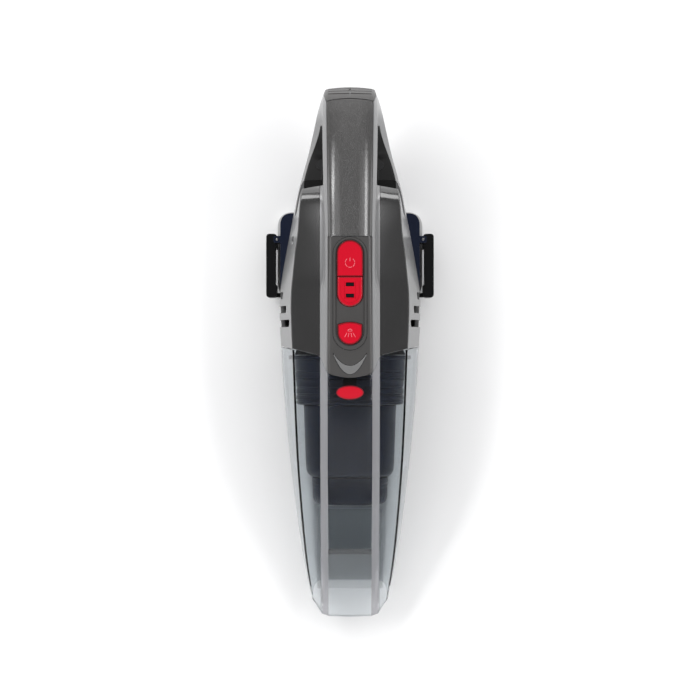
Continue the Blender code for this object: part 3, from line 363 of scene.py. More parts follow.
# ---- meshes ----------------------------------------------------------------------------------------
def mesh_object(name, bm, material=None):
    """The mesh, given in millimetres, as an object in metres. A piece without material is scrap."""
    bmesh.ops.scale(bm, vec=(MM, MM, MM), verts=bm.verts)
    bmesh.ops.recalc_face_normals(bm, faces=bm.faces)
    mesh = bpy.data.meshes.new(name)
    bm.to_mesh(mesh)
    bm.free()
    ob = bpy.data.objects.new(name, mesh)
    bpy.context.scene.collection.objects.link(ob)
    if material is None:
        SCRAP.append(ob)
        ob.hide_render = True
    else:
        mesh.materials.append(material)
    return ob


def loft(name, rings, material=None, closed=False):
    """Skin through rings of equal count, capped at both ends or closed into a hoop."""
    bm = bmesh.new()
    rows = [[bm.verts.new(point) for point in ring] for ring in rings]
    count = len(rows[0])
    pairs = list(zip(rows, rows[1:])) + ([(rows[-1], rows[0])] if closed else [])
    for near, far in pairs:
        for i in range(count):
            j = (i + 1) % count
            bm.faces.new((near[i], near[j], far[j], far[i]))
    if not closed:
        bm.faces.new(rows[0])
        bm.faces.new(rows[-1])
    return mesh_object(name, bm, material)


def prism(name, outline, low, high, axis="Z", material=None):
    """A flat outline drawn out along an axis. Along X it is drawn in (Y, Z), along Y in (X, Z)."""
    at = "XYZ".index(axis)
    rings = [[(*point[:at], w, *point[at:]) for point in outline] for w in (low, high)]
    return loft(name, rings, material)


def block(name, low, high, material=None):
    outline = ((low[0], low[1]), (high[0], low[1]), (high[0], high[1]), (low[0], high[1]))
    return prism(name, outline, low[2], high[2], "Z", material)


def circle(centre, radius, steps):
    turn = 2 * math.pi / steps
    return [(centre[0] + radius * math.cos(a), centre[1] + radius * math.sin(a))
            for a in (i * turn for i in range(steps))]


def combine(target, cutter, operation):
    mod = target.modifiers.new(operation.lower(), "BOOLEAN")
    mod.operation = operation
    mod.solver = "MANIFOLD"
    mod.object = cutter
    return target


def cut(target, *cutters):
    for cutter in cutters:
        combine(target, cutter, "DIFFERENCE")
    return target


def keep(target, *cutters):
    for cutter in cutters:
        combine(target, cutter, "INTERSECT")
    return target


def join(target, *others):
    for other in others:
        combine(target, other, "UNION")
    return target


def settle(ob):
    """Applies the modifiers, then clears the hair-thin edges that Booleans leave."""
    dg = bpy.context.evaluated_depsgraph_get()
    old = ob.data
    ob.data = bpy.data.meshes.new_from_object(ob.evaluated_get(dg))
    ob.modifiers.clear()
    first = old.materials[0] if old.materials else None
    bpy.data.meshes.remove(old)
    ob.data.materials.clear()
    ob.data.materials.append(first)
    for face in ob.data.polygons:
        face.material_index = 0
    bm = bmesh.new()
    bm.from_mesh(ob.data)
    bmesh.ops.remove_doubles(bm, verts=bm.verts, dist=0.03 * MM)
    bmesh.ops.dissolve_limit(bm, angle_limit=math.radians(0.2), verts=bm.verts, edges=bm.edges)
    bmesh.ops.triangulate(bm, faces=[f for f in bm.faces if len(f.verts) > 4])
    bm.to_mesh(ob.data)
    bm.free()
    return ob


def smooth(ob, angle=34):
    """Smooth faces, with edges sharper than angle kept sharp."""
    bm = bmesh.new()
    bm.from_mesh(ob.data)
    limit = math.radians(angle)
    for face in bm.faces:
        face.smooth = True
    for edge in bm.edges:
        edge.smooth = len(edge.link_faces) == 2 and edge.calc_face_angle(0) < limit
    bm.to_mesh(ob.data)
    bm.free()
    return ob


def soften(ob, width, segments=2, angle=34):
    """A live bevel on the sharp edges, with normals weighted by face."""
    smooth(ob, angle)
    mod = ob.modifiers.new("soft_edges", "BEVEL")
    mod.width = width * MM
    mod.segments = segments
    mod.limit_method = "ANGLE"
    mod.angle_limit = math.radians(angle)
    mod.harden_normals = True
    return ob


def stand_for(ob, body, slot, *nodes):
    """The piece rides on a body and hides the CAD nodes it stands for. Its slot is not used."""
    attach(ob, body)
    if nodes:
        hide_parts(*nodes)
    return ob


# ---- hull ------------------------------------------------------------------------------------------
def value(curve, y):
    """Reads a hull curve at y, smoothly and without overshoot."""
    if y <= curve[0][0]:
        return curve[0][1]
    if y >= curve[-1][0]:
        return curve[-1][1]
    spans = [(v1 - v0) / (y1 - y0) for (y0, v0), (y1, v1) in zip(curve, curve[1:])]
    k = max(i for i in range(len(spans)) if curve[i][0] <= y)
    (y0, v0), (y1, v1) = curve[k], curve[k + 1]
    step = y1 - y0
    t = (y - y0) / step
    return (v0 * (1 + 2 * t) * (1 - t) ** 2 + knot_slope(spans, k) * step * t * (1 - t) ** 2
            + v1 * t ** 2 * (3 - 2 * t) + knot_slope(spans, k + 1) * step * t ** 2 * (t - 1))


def knot_slope(spans, k):
    if k == 0:
        return spans[0]
    if k == len(spans):
        return spans[-1]
    before, after = spans[k - 1], spans[k]
    return 0.0 if before * after <= 0 else 2 * before * after / (before + after)


def half_section(y):
    """Key corners (X, Z) of the right half, from the belly's middle up to the top's middle."""
    bottom = value(BOTTOM_Z, y)
    top = value(TOP_Z, y)
    side = value(SIDE_W, y)
    side_z = value(SIDE_Z, y)
    edge_z = top - TOP_EDGE_DROP
    return [(0, bottom), (value(BOTTOM_W, y), bottom), (side - 3, bottom + 0.35 * (side_z - bottom)),
            (side, side_z), (value(SHOULDER_W, y), value(SHOULDER_Z, y)), (value(FOOT_W, y), value(FOOT_Z, y)),
            (value(RIDGE_W, y), edge_z - value(RIDGE_DROP, y)), (value(TOP_W, y), edge_z), (0, top)]


def offset_outline(points, distance):
    """Moves a closed outline outwards (counter-clockwise) by distance."""
    lines = []
    count = len(points)
    for i in range(count):
        a = Vector(points[i])
        way = (Vector(points[(i + 1) % count]) - a).normalized()
        lines.append((a + Vector((way.y, -way.x)) * distance, way))
    moved = []
    for i in range(count):
        (p, u), (q, v) = lines[i - 1], lines[i]
        cross = u.x * v.y - u.y * v.x
        gap = q - p
        moved.append(tuple(q if abs(cross) < 0.02 else p + u * ((gap.x * v.y - gap.y * v.x) / cross)))
    return moved


def corner(before, at, after, radius, steps):
    """Points of one rounded corner."""
    back = before - at
    ahead = after - at
    half = back.angle(ahead, math.pi) / 2
    reach = min(radius / max(math.tan(half), 0.05), back.length * 0.45, ahead.length * 0.45)
    start = at + back.normalized() * reach
    end = at + ahead.normalized() * reach
    return [tuple(start * (1 - t) ** 2 + at * (2 * t * (1 - t)) + end * t ** 2)
            for t in (i / steps for i in range(steps + 1))]


def round_corners(points, radius, steps=4):
    rounded = []
    count = len(points)
    for i in range(count):
        before, at, after = (Vector(points[k % count]) for k in (i - 1, i, i + 1))
        rounded += corner(before, at, after, radius, steps)
    return rounded


def hull_ring(y, inset):
    """The whole cross-section at y as 3-D points."""
    points = half_section(y)
    full = points + [(-x, z) for x, z in points[-2:0:-1]]
    moved = offset_outline(full, -inset)[:len(points)]
    half = [Vector((abs(x) if 0 < i < len(points) - 1 else 0.0, z)) for i, (x, z) in enumerate(moved)]
    right = [tuple(half[0])]
    for i, (radius, steps) in enumerate(ROUNDING, start=1):
        right += corner(half[i - 1], half[i], half[i + 1], max(radius - inset, 0.5), steps)
    right.append(tuple(half[-1]))
    left = [(-x, z) for x, z in right[-2:0:-1]]
    return [(x, y, z) for x, z in right + left]


def hull(name, inset, y0, y1, material=None, step=STEP):
    """A length of the hull, inset from its outside, without the finger opening and the battery bay."""
    count = max(2, round((y1 - y0) / step))
    rows = [y0 + (y1 - y0) * i / count for i in range(count + 1)]
    ob = loft(name, [hull_ring(y, inset) for y in rows], material)
    if y1 > OPENING[3][0]:
        cut(ob, opening_prism(inset),
            prism("battery_bay", offset_outline(BAY, inset), -80, 80, "X"), rear_end(inset))
    return settle(ob)


def rear_end(grow):
    """Everything behind the bowed end of the handle, moved forward by grow."""
    bow = bowed(REAR_BOW_W, REAR - REAR_BOW - grow, REAR_BOW, 16)
    behind = [(-40, bow[-1][1]), (-40, REAR + 30), (40, REAR + 30), (40, bow[0][1])]
    return prism("rear_end", bow + behind, 50, 140)


def top_at(x, y, lift=0.0):
    """A point on top of the hull, in metres."""
    return Vector((x, y, value(TOP_Z, y) - TOP_EDGE_DROP * abs(x) / value(TOP_W, y) + lift)) * MM


# ---- outlines --------------------------------------------------------------------------------------
def arc(centre, radius, start, end, steps):
    turn = [math.radians(start + (end - start) * i / steps) for i in range(steps + 1)]
    return [(centre[0] + radius * math.cos(a), centre[1] + radius * math.sin(a)) for a in turn]


def pill(half, y0, y1, grow=0.0, steps=20):
    radius = half + grow
    return arc((0, y1 - half), radius, 0, 180, steps) + arc((0, y0 + half), radius, 180, 360, steps)


def oval(half_x, half_y, centre_y, grow=0.0, steps=48):
    turn = 2 * math.pi / steps
    return [((half_x + grow) * math.cos(i * turn), centre_y + (half_y + grow) * math.sin(i * turn))
            for i in range(steps)]


def rounded_box(x0, y0, x1, y1, radius, steps=6):
    return round_corners([(x0, y0), (x1, y0), (x1, y1), (x0, y1)], radius, steps)


def shoulder_outline(side, grow):
    inner = 22.4 - grow
    rows = [-6 + 3.5 * i for i in range(41)]
    outer = [(side * (value(SHOULDER_W, y) + grow), y if y < 134 else 134 + grow) for y in rows]
    return outer + [(side * inner, rows[-1] + grow), (side * inner, rows[0])]


def bowed(half, y, bow, steps=8):
    """Points of a shallow bow, from right to left."""
    return [(half * t, y + bow * (1 - t * t)) for t in [1 - 2 * i / steps for i in range(steps + 1)]]


def grip_outline(grow):
    """Plan outline of the grip: wider at the rear, where it ends in front of the cap's bow."""
    back = bowed(16.9 + grow, CAP_FRONT - 2 * GAP + grow, CAP_BOW)
    return [(-15.6 - grow, GRIP_FRONT - grow), (15.6 + grow, GRIP_FRONT - grow)] + back


def cap_outline(grow):
    """Plan outline of the cap on the handle's rear end: bowed in front, and full width behind."""
    front = bowed(CAP_FRONT_W + grow, CAP_FRONT - grow, CAP_BOW)[::-1]
    right = [(CAP_FRONT_W + 2 + grow, CAP_FRONT + 7), (CAP_FRONT_W + 6 + grow, CAP_FRONT + 9.4),
             (CAP_FRONT_W + 6 + grow, 206)]
    return front + right + [(-x, y) for x, y in right[::-1]]


def control_outline(grow):
    half = 16.0 + grow
    steps = [i / 8 for i in range(-8, 9)]
    front = [(half * t, -14.6 - grow + 3.9 * t * t) for t in steps]
    return front + [(half, GRIP_FRONT - 0.7 + grow), (-half, GRIP_FRONT - 0.7 + grow)]


def lens_outline(grow):
    """Crescent between two parabolas, moved out by grow."""
    end = 1 + grow / LENS_HALF
    rows = [[], []]
    for row, (middle, rise, way) in zip(rows, LENS_EDGES):
        for t in [-end] + [i / 8 for i in range(-7, 8)] + [end]:
            out = grow * math.hypot(1, 2 * rise * t / LENS_HALF)
            row.append((LENS_HALF * t, middle + rise * t * t + way * out))
    return rows[0] + rows[1][::-1]


def light_outline(grow):
    half, front, rear = LIGHT
    round_front = [p for p in arc((0, front + half), half + grow, 180, 360, 24) if p[1] < rear - 4.6]
    back = [((half + grow) * t, rear + grow - 1.8 * t * t) for t in (i / 4 for i in range(4, -5, -1))]
    return round_front + back


def switch_outline(y0, y1, grow):
    half, front, rear = SWITCH
    return [(x, min(max(y, y0 - grow), y1 + grow)) for x, y in pill(half, front, rear, grow)]


def no_doubles(points):
    """An outline without points that repeat."""
    return [p for i, p in enumerate(points) if (Vector(p) - Vector(points[i - 1])).length > 0.01]


# ---- shells and panels -----------------------------------------------------------------------------
def seam_side(rear, shift):
    """Everything behind or in front of the seam between bin and housing."""
    line = [(x, y + shift) for x, y in smooth_line(SEAM)]
    line = [(-x, y) for x, y in line[:0:-1]] + line
    far = -FAR if rear else FAR
    return prism("seam", [(-60, far)] + line + [(60, far)], -20, 150)


def smooth_line(points, steps=5):
    """The seam's points joined by a smooth curve, sharp only at its step beside the spine."""
    rows = [Vector(p) for p in points]
    line = []
    for i in range(len(rows) - 1):
        before = rows[i - 1] if i > 0 else Vector((-rows[1].x, rows[1].y))
        after = rows[i + 2] if i + 2 < len(rows) else rows[i + 1] * 2 - rows[i]
        for s in range(steps):
            t = s / steps
            a, b = rows[i], rows[i + 1]
            square = 2 * before - 5 * a + 4 * b - after
            cube = 3 * a - before - 3 * b + after
            line.append(tuple(0.5 * (2 * a + (b - before) * t + square * t * t + cube * t ** 3)))
    return line + [tuple(rows[-1])]


def shells(whole, floor):
    """Both silver halves: seats for the panels, exhaust slots, screw sinks, and the rear opening."""
    inside = hull("inside", SKIN, -40, REAR - SKIN)
    seam = seam_side(True, 0.0)
    outlines = [(shoulder_outline(-1, GAP), 76), (shoulder_outline(1, GAP), 76), (control_outline(GAP), 94),
                (grip_outline(GAP), 100), (cap_outline(GAP), 88.4)]
    seats = []
    for outline, low in outlines:
        seat = prism("seat", outline, low, ABOVE)
        seats.append(settle(cut(seat, floor)))
    well = keep(prism("well_seat", well_plan(GAP), 40, 100), prism("well_side", WELL_SIDE, -60, 60, "X"),
                opening_prism(WELL_DEPTH + GAP))
    seats.append(settle(well))
    for side, word in ((-1, "left"), (1, "right")):
        ob = mesh_copy(word + "_shell", whole, SILVER)
        cut(ob, inside, seam)
        middle = side * GAP / 2
        far = -side * 90
        cut(ob, block("other_half", (min(far, middle), -FAR, -20), (max(far, middle), FAR, 150)), *seats)
        for y, low, high in VENTS:
            front, rear = y - VENT_HALF, y + VENT_HALF
            outline = [(front, low), (rear, low + VENT_LEAN), (rear, high), (front, high - VENT_LEAN)]
            cut(ob, prism("vent", round_corners(outline, 1.6), side * 36, side * 70, "X"))
        cut(ob, prism("bezel_hole", pill(*BEZEL, GAP), *KEYS_Z), prism("lens_hole", lens_outline(GAP), *KEYS_Z),
            prism("socket_hole", circle((0, SOCKET_Z), 4.3, 32), 180, 210, "Y"),
            block("terminal_hole", (-10.2, 40, 13.7), (10.2, 48, 24.3)))
        if side < 0:
            for at in SCREWS:
                cut(ob, prism("sink", circle(at, SCREW_SINK, 28), -70, -11, "X"))
        soften(settle(ob), 0.35)
        stand_for(ob, "housing", "silver_shell", word + "_housing")


def mesh_copy(name, source, material):
    ob = bpy.data.objects.new(name, source.data.copy())
    bpy.context.scene.collection.objects.link(ob)
    ob.data.materials.clear()
    ob.data.materials.append(material)
    return ob


def panel(name, whole, floor, outline, low, material):
    ob = mesh_copy(name, whole, material)
    return cut(keep(ob, prism("outline", no_doubles(outline), low, ABOVE)), floor)


def panels(whole, floor):
    seam = seam_side(True, GAP)
    for side, word in ((-1, "left"), (1, "right")):
        ob = panel(word + "_shoulder_panel", whole, floor, shoulder_outline(side, 0.0), 76, GLOSS)
        soften(settle(cut(ob, seam)), 0.45, 3)
        stand_for(ob, "housing", "gloss_grey", word + "_shoulder")
    deck = panel("control_deck", whole, floor, control_outline(0.0), 94, TRIM)
    cut(deck, seam, prism("bezel_hole", pill(*BEZEL, GAP), *KEYS_Z),
        prism("lens_hole", lens_outline(GAP), *KEYS_Z))
    soften(settle(deck), 0.4)
    stand_for(deck, "housing", "trim_grey", "control_panel")
    grip = panel("grip_strip", whole, floor, grip_outline(0.0), 100, GRIP)
    soften(settle(grip), 0.5, 3)
    stand_for(grip, "housing", "grip_grey", "handle_grip")
    cap = panel("end_cap", whole, floor, cap_outline(0.0), 88.4, TRIM)
    for i in range(3):
        z = 96.5 + 5.2 * i
        groove = rounded_box(rear_slope(z) - 0.9, z - 0.7, FAR, z + 0.7, 0.3, 2)
        cut(cap, prism("cap_groove", groove, -16, 16, "X"))
    cut(cap, prism("cap_mark", rounded_box(-0.5, 97, 0.5, 110, 0.4, 3), 190, FAR, "Y"))
    soften(settle(cap), 0.35)
    stand_for(cap, "housing", "trim_grey", "handle_end_cap")


def rear_slope(z):
    """Y on the rear of the handle where its top is at height z."""
    low, high = 170.0, float(REAR)
    for _ in range(30):
        middle = (low + high) / 2
        if value(TOP_Z, middle) > z:
            low = middle
        else:
            high = middle
    return low


def well_plan(grow):
    """Plan outline of the lining, which follows the edge of the deck."""
    rows = [113 + 3 * i for i in range(21)]
    right = [(value(SHOULDER_W, max(y, 133)) + grow, y) for y in rows]
    right = [(right[0][0], 113 - grow)] + right[1:-1] + [(right[-1][0], rows[-1] + grow)]
    return right + [(-x, y) for x, y in right[::-1]]


def opening_prism(grow):
    outline = round_corners(offset_outline(OPENING, grow), OPENING_ROUND + grow, 6)
    return prism("finger_opening", outline, -80, 80, "X")


def finger_well():
    """Lining of the finger opening, and the ribbed soft rest in it."""
    # The lining takes the darker copy of the gloss grey: painted shade in the well under the handle.
    liner = hull("well_lining", 0.0, 100, 190, SHADED_GLOSS, 2.0)
    keep(liner, prism("well_plan", well_plan(0.0), 40, 100), prism("well_side", WELL_SIDE, -60, 60, "X"),
         opening_prism(WELL_DEPTH))
    soften(settle(liner), 0.3)
    stand_for(liner, "housing", "gloss_grey", "finger_well_liner")
    low, high = [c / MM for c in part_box("finger_rest_pad")]
    half = (high - low) / 2
    middle = (low.y + high.y) / 2
    pad = prism("finger_rest", oval(half.x, half.y, middle), low.z, high.z - 0.5, "Z", RUBBER)
    for i in range(-4, 5):
        x = i * half.x * 0.19
        reach = half.y * math.sqrt(max(0.0, 1 - (x / half.x) ** 2)) - 1.6
        rib = rounded_box(x - 0.8, middle - reach, x + 0.8, middle + reach, 0.7)
        join(pad, prism("rib", rib, high.z - 1, high.z))
    soften(settle(pad), 0.4)
    stand_for(pad, "housing", "rubber", "finger_rest_pad")


# ---- keys --------------------------------------------------------------------------------------------
def key_top(name, outline, material, low, high, y0=-30.0, y1=100.0):
    """A key cut from the hull: high proud of its outside, down to a depth of low."""
    ob = hull(name, -high, y0, y1, material)
    keep(ob, prism("key_outline", no_doubles(outline), 80, ABOVE))
    cut(ob, hull("key_underside", low, y0 - 2, y1 + 2))
    return settle(ob)


def wire(name, points, thick, material):
    """A fine raised line on a key, as a mesh."""
    curve = bpy.data.curves.new(name, "CURVE")
    curve.dimensions = "3D"
    curve.bevel_depth = thick * MM
    curve.bevel_resolution = 2
    curve.use_fill_caps = True
    line = curve.splines.new("POLY")
    line.points.add(len(points) - 1)
    for point, at in zip(line.points, points):
        point.co = (*at, 1)
    ob = bpy.data.objects.new(name, curve)
    bpy.context.scene.collection.objects.link(ob)
    curve.materials.append(material)
    return ob


def symbol(name, lines, lift, thick, material):
    """Several fine lines on top of the hull as one mesh object."""
    bm = bmesh.new()
    for number, line in enumerate(lines):
        part = wire("line_%d" % number, [top_at(x, y, lift) for x, y in line], thick, material)
        dg = bpy.context.evaluated_depsgraph_get()
        bm.from_mesh(bpy.data.meshes.new_from_object(part.evaluated_get(dg)))
        bpy.data.objects.remove(part)
    mesh = bpy.data.meshes.new(name)
    bm.to_mesh(mesh)
    bm.free()
    mesh.materials.append(material)
    ob = bpy.data.objects.new(name, mesh)
    bpy.context.scene.collection.objects.link(ob)
    return smooth(ob, 50)


def window_holes(name):
    x, half_y = WINDOW_HALF
    return [block(name, (-x, y - half_y, 100), (x, y + half_y, ABOVE)) for y in WINDOWS_Y]


def keys():
    bezel = key_top("key_bezel", pill(*BEZEL), TRIM, 3.2, 0.5)
    well = prism("key_well", pill(SWITCH[0] + 1.3, LIGHT[1] - 1.2, SWITCH[2] + 1.3), *KEYS_Z)
    cut(well, hull("well_floor", 0.9, -32, 110))
    cut(bezel, settle(well), prism("switch_hole", pill(*SWITCH, GAP), *KEYS_Z),
        prism("light_hole", light_outline(GAP), *KEYS_Z))
    soften(settle(bezel), 0.3)
    stand_for(bezel, "housing", "trim_grey", "switch_bezel")

    def pad(name, outline, body, low=-0.2, high=1.0, holes=()):
        """Raised middle of a key, so that its rim shows as a step."""
        ob = cut(key_top(name, outline, RED, low, high), *holes)
        stand_for(smooth(settle(ob), 30), body, "red_plastic")

    # The lower tier of each key takes the darker red: painted shade on the ring round its raised pad.
    power = key_top("power_key", switch_outline(SWITCH_SPLIT + GAP / 2, 200, 0), SHADED_RED, 4.6, 0.3)
    pad("power_pad", switch_outline(SWITCH_SPLIT + GAP / 2 - 0.5, 200, -0.9), "power_button")
    stand_for(soften(power, 1.1, 4), "power_button", "red_plastic", "power_button")
    centre = POWER_MARK_Y
    dashes = [arc((0, centre), 3.4, start, start + 48, 6) for start in (128, 188, 248, 308, 364)]
    mark = symbol("power_symbol", dashes + [[(0, centre + 1), (0, centre + 3.6)]], 1.0, 0.2, PRINT)
    stand_for(mark, "power_button", "red_plastic")

    mode = key_top("mode_key", switch_outline(-200, SWITCH_SPLIT - GAP / 2, 0), SHADED_RED, 4.6, 0.3)
    cut(mode, *window_holes("window_hole"))
    soften(settle(mode), 1.1, 4)
    stand_for(mode, "mode_button", "red_plastic", "mode_button")
    pad("mode_rim", switch_outline(-200, SWITCH_SPLIT - GAP / 2 - 0.1, -0.9), "mode_button",
        holes=window_holes("pad_hole"))
    frame_hole = block("pad_window", (-4.2, WINDOWS_Y[0] - 2.4, 100), (4.2, WINDOWS_Y[1] + 2.4, ABOVE))
    pad("mode_pad", switch_outline(-200, SWITCH_SPLIT - 0.6, -2.9), "mode_button", -0.8, 1.5, (frame_hole,))

    light = key_top("lamp_key", light_outline(0), SHADED_RED, 4.6, 0.3)
    pad("lamp_pad", light_outline(-0.9), "light_button")
    stand_for(smooth(light, 30), "light_button", "red_plastic", "light_button")
    centre = LAMP_MARK_Y
    bulb = arc((0, centre), 1.5, 0, 180, 8) + [(1.5 * t, centre) for t in (-1, 1)]
    rays = [[(x, centre - 1.3), (x * 1.75, centre - 4.3)] for x in (-2.2, -0.75, 0.75, 2.2)]
    stand_for(symbol("lamp_symbol", [bulb] + rays, 1.0, 0.2, PRINT), "light_button", "red_plastic")

    lens = key_top("lamp_lens", lens_outline(0), LENS, 3.6, 0.2)
    stand_for(soften(lens, 0.5, 3), "housing", "clear_lens", "led_lens")


# ---- bin, filter and duct ------------------------------------------------------------------------------
def before_mouth(name, y):
    """Everything in front of the sloping mouth, whose edge is at y at the height MOUTH_Z."""
    edge = [(y + MOUTH_SLOPE * (MOUTH_Z - z), z) for z in (41, -12)]
    return prism(name, [edge[0], (-FAR, 41), (-FAR, -12), edge[1]], -70, 70, "X")


def clear_bin():
    ob = hull("clear_bin", 0.0, -204, 20, SMOKED)
    half_x, half_y, centre = RELEASE
    cut(ob, hull("bin_inside", BIN_WALL, -210, 30), seam_side(False, -0.4), before_mouth("mouth", -200),
        prism("release_hole", oval(half_x, half_y, centre, GAP), *KEYS_Z))
    soften(settle(ob), 0.45, 3)
    stand_for(ob, "bin", "smoked_clear", "dust_bin")
    # The release key's lower tier takes the darker red: painted shade on the ring round its pad.
    release = key_top("release_key", oval(half_x, half_y, centre), SHADED_RED, 4.2, 0.3, -60.0, 0.0)
    cap = key_top("release_pad", oval(half_x, half_y, centre, -0.8), RED, -0.2, 1.0, -60.0, 0.0)
    stand_for(smooth(cap, 30), "bin_release", "red_plastic")
    stand_for(smooth(release, 30), "bin_release", "red_plastic", "bin_release_button")


def oval_ring(y, half_x, half_z, centre_z, power=2.3, steps=72):
    points = []
    for i in range(steps):
        angle = 2 * math.pi * i / steps
        c, s = math.cos(angle), math.sin(angle)
        points.append((math.copysign(abs(c) ** (2 / power), c) * half_x, y,
                       centre_z + math.copysign(abs(s) ** (2 / power), s) * half_z))
    return points


def ring_wall(name, outside, inside, material):
    """A hollow turned-like wall: out along the outside rows and back along the inside rows."""
    return loft(name, [oval_ring(*row) for row in outside + inside[::-1]], material, closed=True)


def filter_set():
    z = 50
    outside = [(2, 44.4, 41.4, z), (1.4, 45, 42, z), (-0.4, 45, 42, z), (-1, 44.4, 41.4, z),
               (-1.1, 41.5, 39, z)]
    for y in (-9.5, -14.5):
        outside += [(y, 41.5, 39, z), (y - 0.3, 40.9, 38.4, z), (y - 1.1, 40.9, 38.4, z),
                    (y - 1.4, 41.5, 39, z)]
    outside += [(-17.5, 40.5, 38, z)]
    for y in (-21.5, -26.5, -31):
        outside += [(y, 40.4, 37.6, z), (y - 0.3, 39.7, 37, z), (y - 1.3, 39.7, 37, z),
                    (y - 1.6, 40.2, 37.4, z)]
    outside += [(-34.4, 40, 37, z - 0.5), (-35, 39.2, 36.2, z - 0.5)]
    inside = [(2, 36, 33, z), (-35, 36, 33, z)]
    frame_ring = ring_wall("filter_flange", outside, inside, NAVY)
    stand_for(soften(frame_ring, 0.2, 1, 50), "filter", "navy_plastic", "filter_frame")

    rows = [(-35.4, 34.3, 30, z - 1), (-36, 34.8, 30.5, z - 1.1), (-60, 34, 29.5, z - 3),
            (-80, 33.3, 28.6, z - 4.8), (-84.5, 32.9, 28.2, z - 5.2), (-87.6, 31.6, 26.9, z - 5.4),
            (-89.4, 29.6, 25, z - 5.5), (-90, 27.6, 23, z - 5.6)]
    cup = loft("filter_cup_skin", [oval_ring(*row) for row in rows], NAVY)
    cut(cup, loft("cup_room", [oval_ring(-30, 33, 28.7, z - 1), oval_ring(-82, 31.4, 26.7, z - 5),
                               oval_ring(-88.2, 27, 23, z - 5.4)]))
    settle(cup)
    soften(settle(cup), 0.2, 2, 40)
    stand_for(cup, "filter", "navy_plastic", "filter_cup")

    rows = [(-90.4, 28, 23, z - 7), (-91, 28.5, 23.5, z - 7), (-100, 28.2, 23.2, z - 7.3),
            (-106, 28, 23, z - 7.5), (-109.4, 26.8, 21.8, z - 7.8), (-111, 24.5, 19.5, z - 8)]
    nose = loft("filter_nose", [oval_ring(*row) for row in rows], NAVY)
    cut(nose, loft("nose_room", [oval_ring(-85, 26.7, 21.7, z - 7), oval_ring(-108.8, 23.5, 18.6, z - 7.5)]))
    for y in (-94.5, -97.5):
        band = ring_wall("nose_groove", [(y, 40, 40, z - 7), (y - 1, 40, 40, z - 7)],
                         [(y, 27.8, 22.8, z - 7.1), (y - 1, 27.8, 22.8, z - 7.1)], None)
        cut(nose, band)
    soften(settle(nose), 0.25, 2, 40)
    stand_for(nose, "filter", "navy_plastic", "filter_end_cap")


def duct():
    def section(y, inset):
        top = 25 + 8 * (y + 178) / 62
        return [(x, y, z) for x, z in rounded_box(-25 + inset, 2.7 + inset, 25 - inset, top - inset, 5 - inset)]

    tube = loft("duct_tube", [section(-178, 0), section(-147, 0), section(-116, 0)], DUCT)
    cut(tube, loft("duct_room", [section(-184, 1.6), section(-108, 1.6)]), before_mouth("duct_mouth", -197))
    soften(settle(tube), 0.4)
    stand_for(tube, "bin", "smoked_clear", "intake_duct")


# ---- battery and latches -----------------------------------------------------------------------------
def battery():
    low, high = [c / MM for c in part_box("battery_case")]
    outline = rounded_box(-CASE_HALF, low.y, CASE_HALF, high.y, 9, 10)
    room = rounded_box(-CASE_HALF + 2, low.y + 2, CASE_HALF - 2, high.y - 2, 7, 8)
    case = prism("battery_shell", outline, low.z, high.z, "Z", NAVY)
    cut(case, prism("case_room", room, 0, high.z - 2.2), block("connector_hole", (-9, 40, 14), (9, 52, 24)))
    for side in (-1, 1):
        a, b = sorted((side * 48.6, side * 60))
        cut(case, block("hook_room", (a, low.y - 2.4, 12), (b, low.y + 5, 28)))
        cut(case, prism("spring_room", circle((62, 20), 3.2, 24), *sorted((side * 50, side * 60)), "X"))
        a, b = sorted((side * 52, side * 58.8))
        join(case, prism("case_lug", rounded_box(a, 88.4, b, 93.6, 1.2), 31.6, 34.4))
        cut(case, prism("pin_hole", circle((side * PIN[0], PIN[1]), 1.3, 20), 30, 40))
        for z in (13, 17.5, 22):
            a, b = sorted((side * 18, side * 44))
            cut(case, block("rear_groove", (a, high.y - 0.7, z - 0.6), (b, high.y + 4, z + 0.6)))
    soften(settle(case), 0.8, 3)
    stand_for(case, "battery", "navy_plastic", "battery_case")

    low, high = [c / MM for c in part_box("battery_base")]
    base = prism("battery_rim", rounded_box(low.x, low.y, high.x, high.y, 12, 12), low.z, high.z, "Z", PALE)
    cut(base, prism("base_recess", rounded_box(-30, low.y + 16, 30, high.y - 16, 4, 6), 0, low.z + 0.6))
    for side in (-1, 1):
        for y in (58, 99):
            cut(base, prism("foot_seat", circle((side * 42, y), 5.8, 36), 0, 2.0))
    soften(settle(base), 1.2, 4)
    stand_for(base, "battery", "pale_grey", "battery_base")
    for end in ("front", "rear"):
        for word in ("left", "right"):
            name = "foot_%s_%s" % (end, word)
            low, high = [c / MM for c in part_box(name)]
            centre = ((low.x + high.x) / 2, (low.y + high.y) / 2)
            foot = prism("rubber_" + name, circle(centre, high.x - centre[0], 36), low.z, high.z, "Z", RUBBER)
            stand_for(soften(foot, 0.6, 3), "battery", "rubber", name)


def latch(side, word):
    """Squeeze latch: a long plate with a finger pad of ribs, its hook and its lug on the pin."""
    plan = rounded_box(56.4, 46.5, 64.5, 95.5, 2.6, 6)
    body = prism(word + "_latch_plate", [(side * x, y) for x, y in plan], 9, 31, "Z", BLACK)
    for x0, y0, y1, z0, z1 in ((54.2, 88.6, 93.4, 9.4, 30.6), (52.4, 46.8, 50, 14, 26)):
        a, b = sorted((side * x0, side * 60))
        join(body, block("latch_lug", (a, y0, z0), (b, y1, z1)))
    cut(body, prism("latch_bore", circle((side * PIN[0], PIN[1]), 1.3, 20), 0, 40))
    for i in range(6):
        y = 54 + 3.2 * i
        a, b = sorted((side * 63.7, side * 70))
        cut(body, block("latch_groove", (a, y, 12.5), (b, y + 1.5, 27.5)))
    a, b = sorted((side * 55, side * 57.6))
    cut(body, block("latch_relief", (a, 56, 0), (b, 84, 60)))
    soften(settle(body), 0.6, 3)
    stand_for(body, word + "_latch", "black_plastic", word + "_latch")


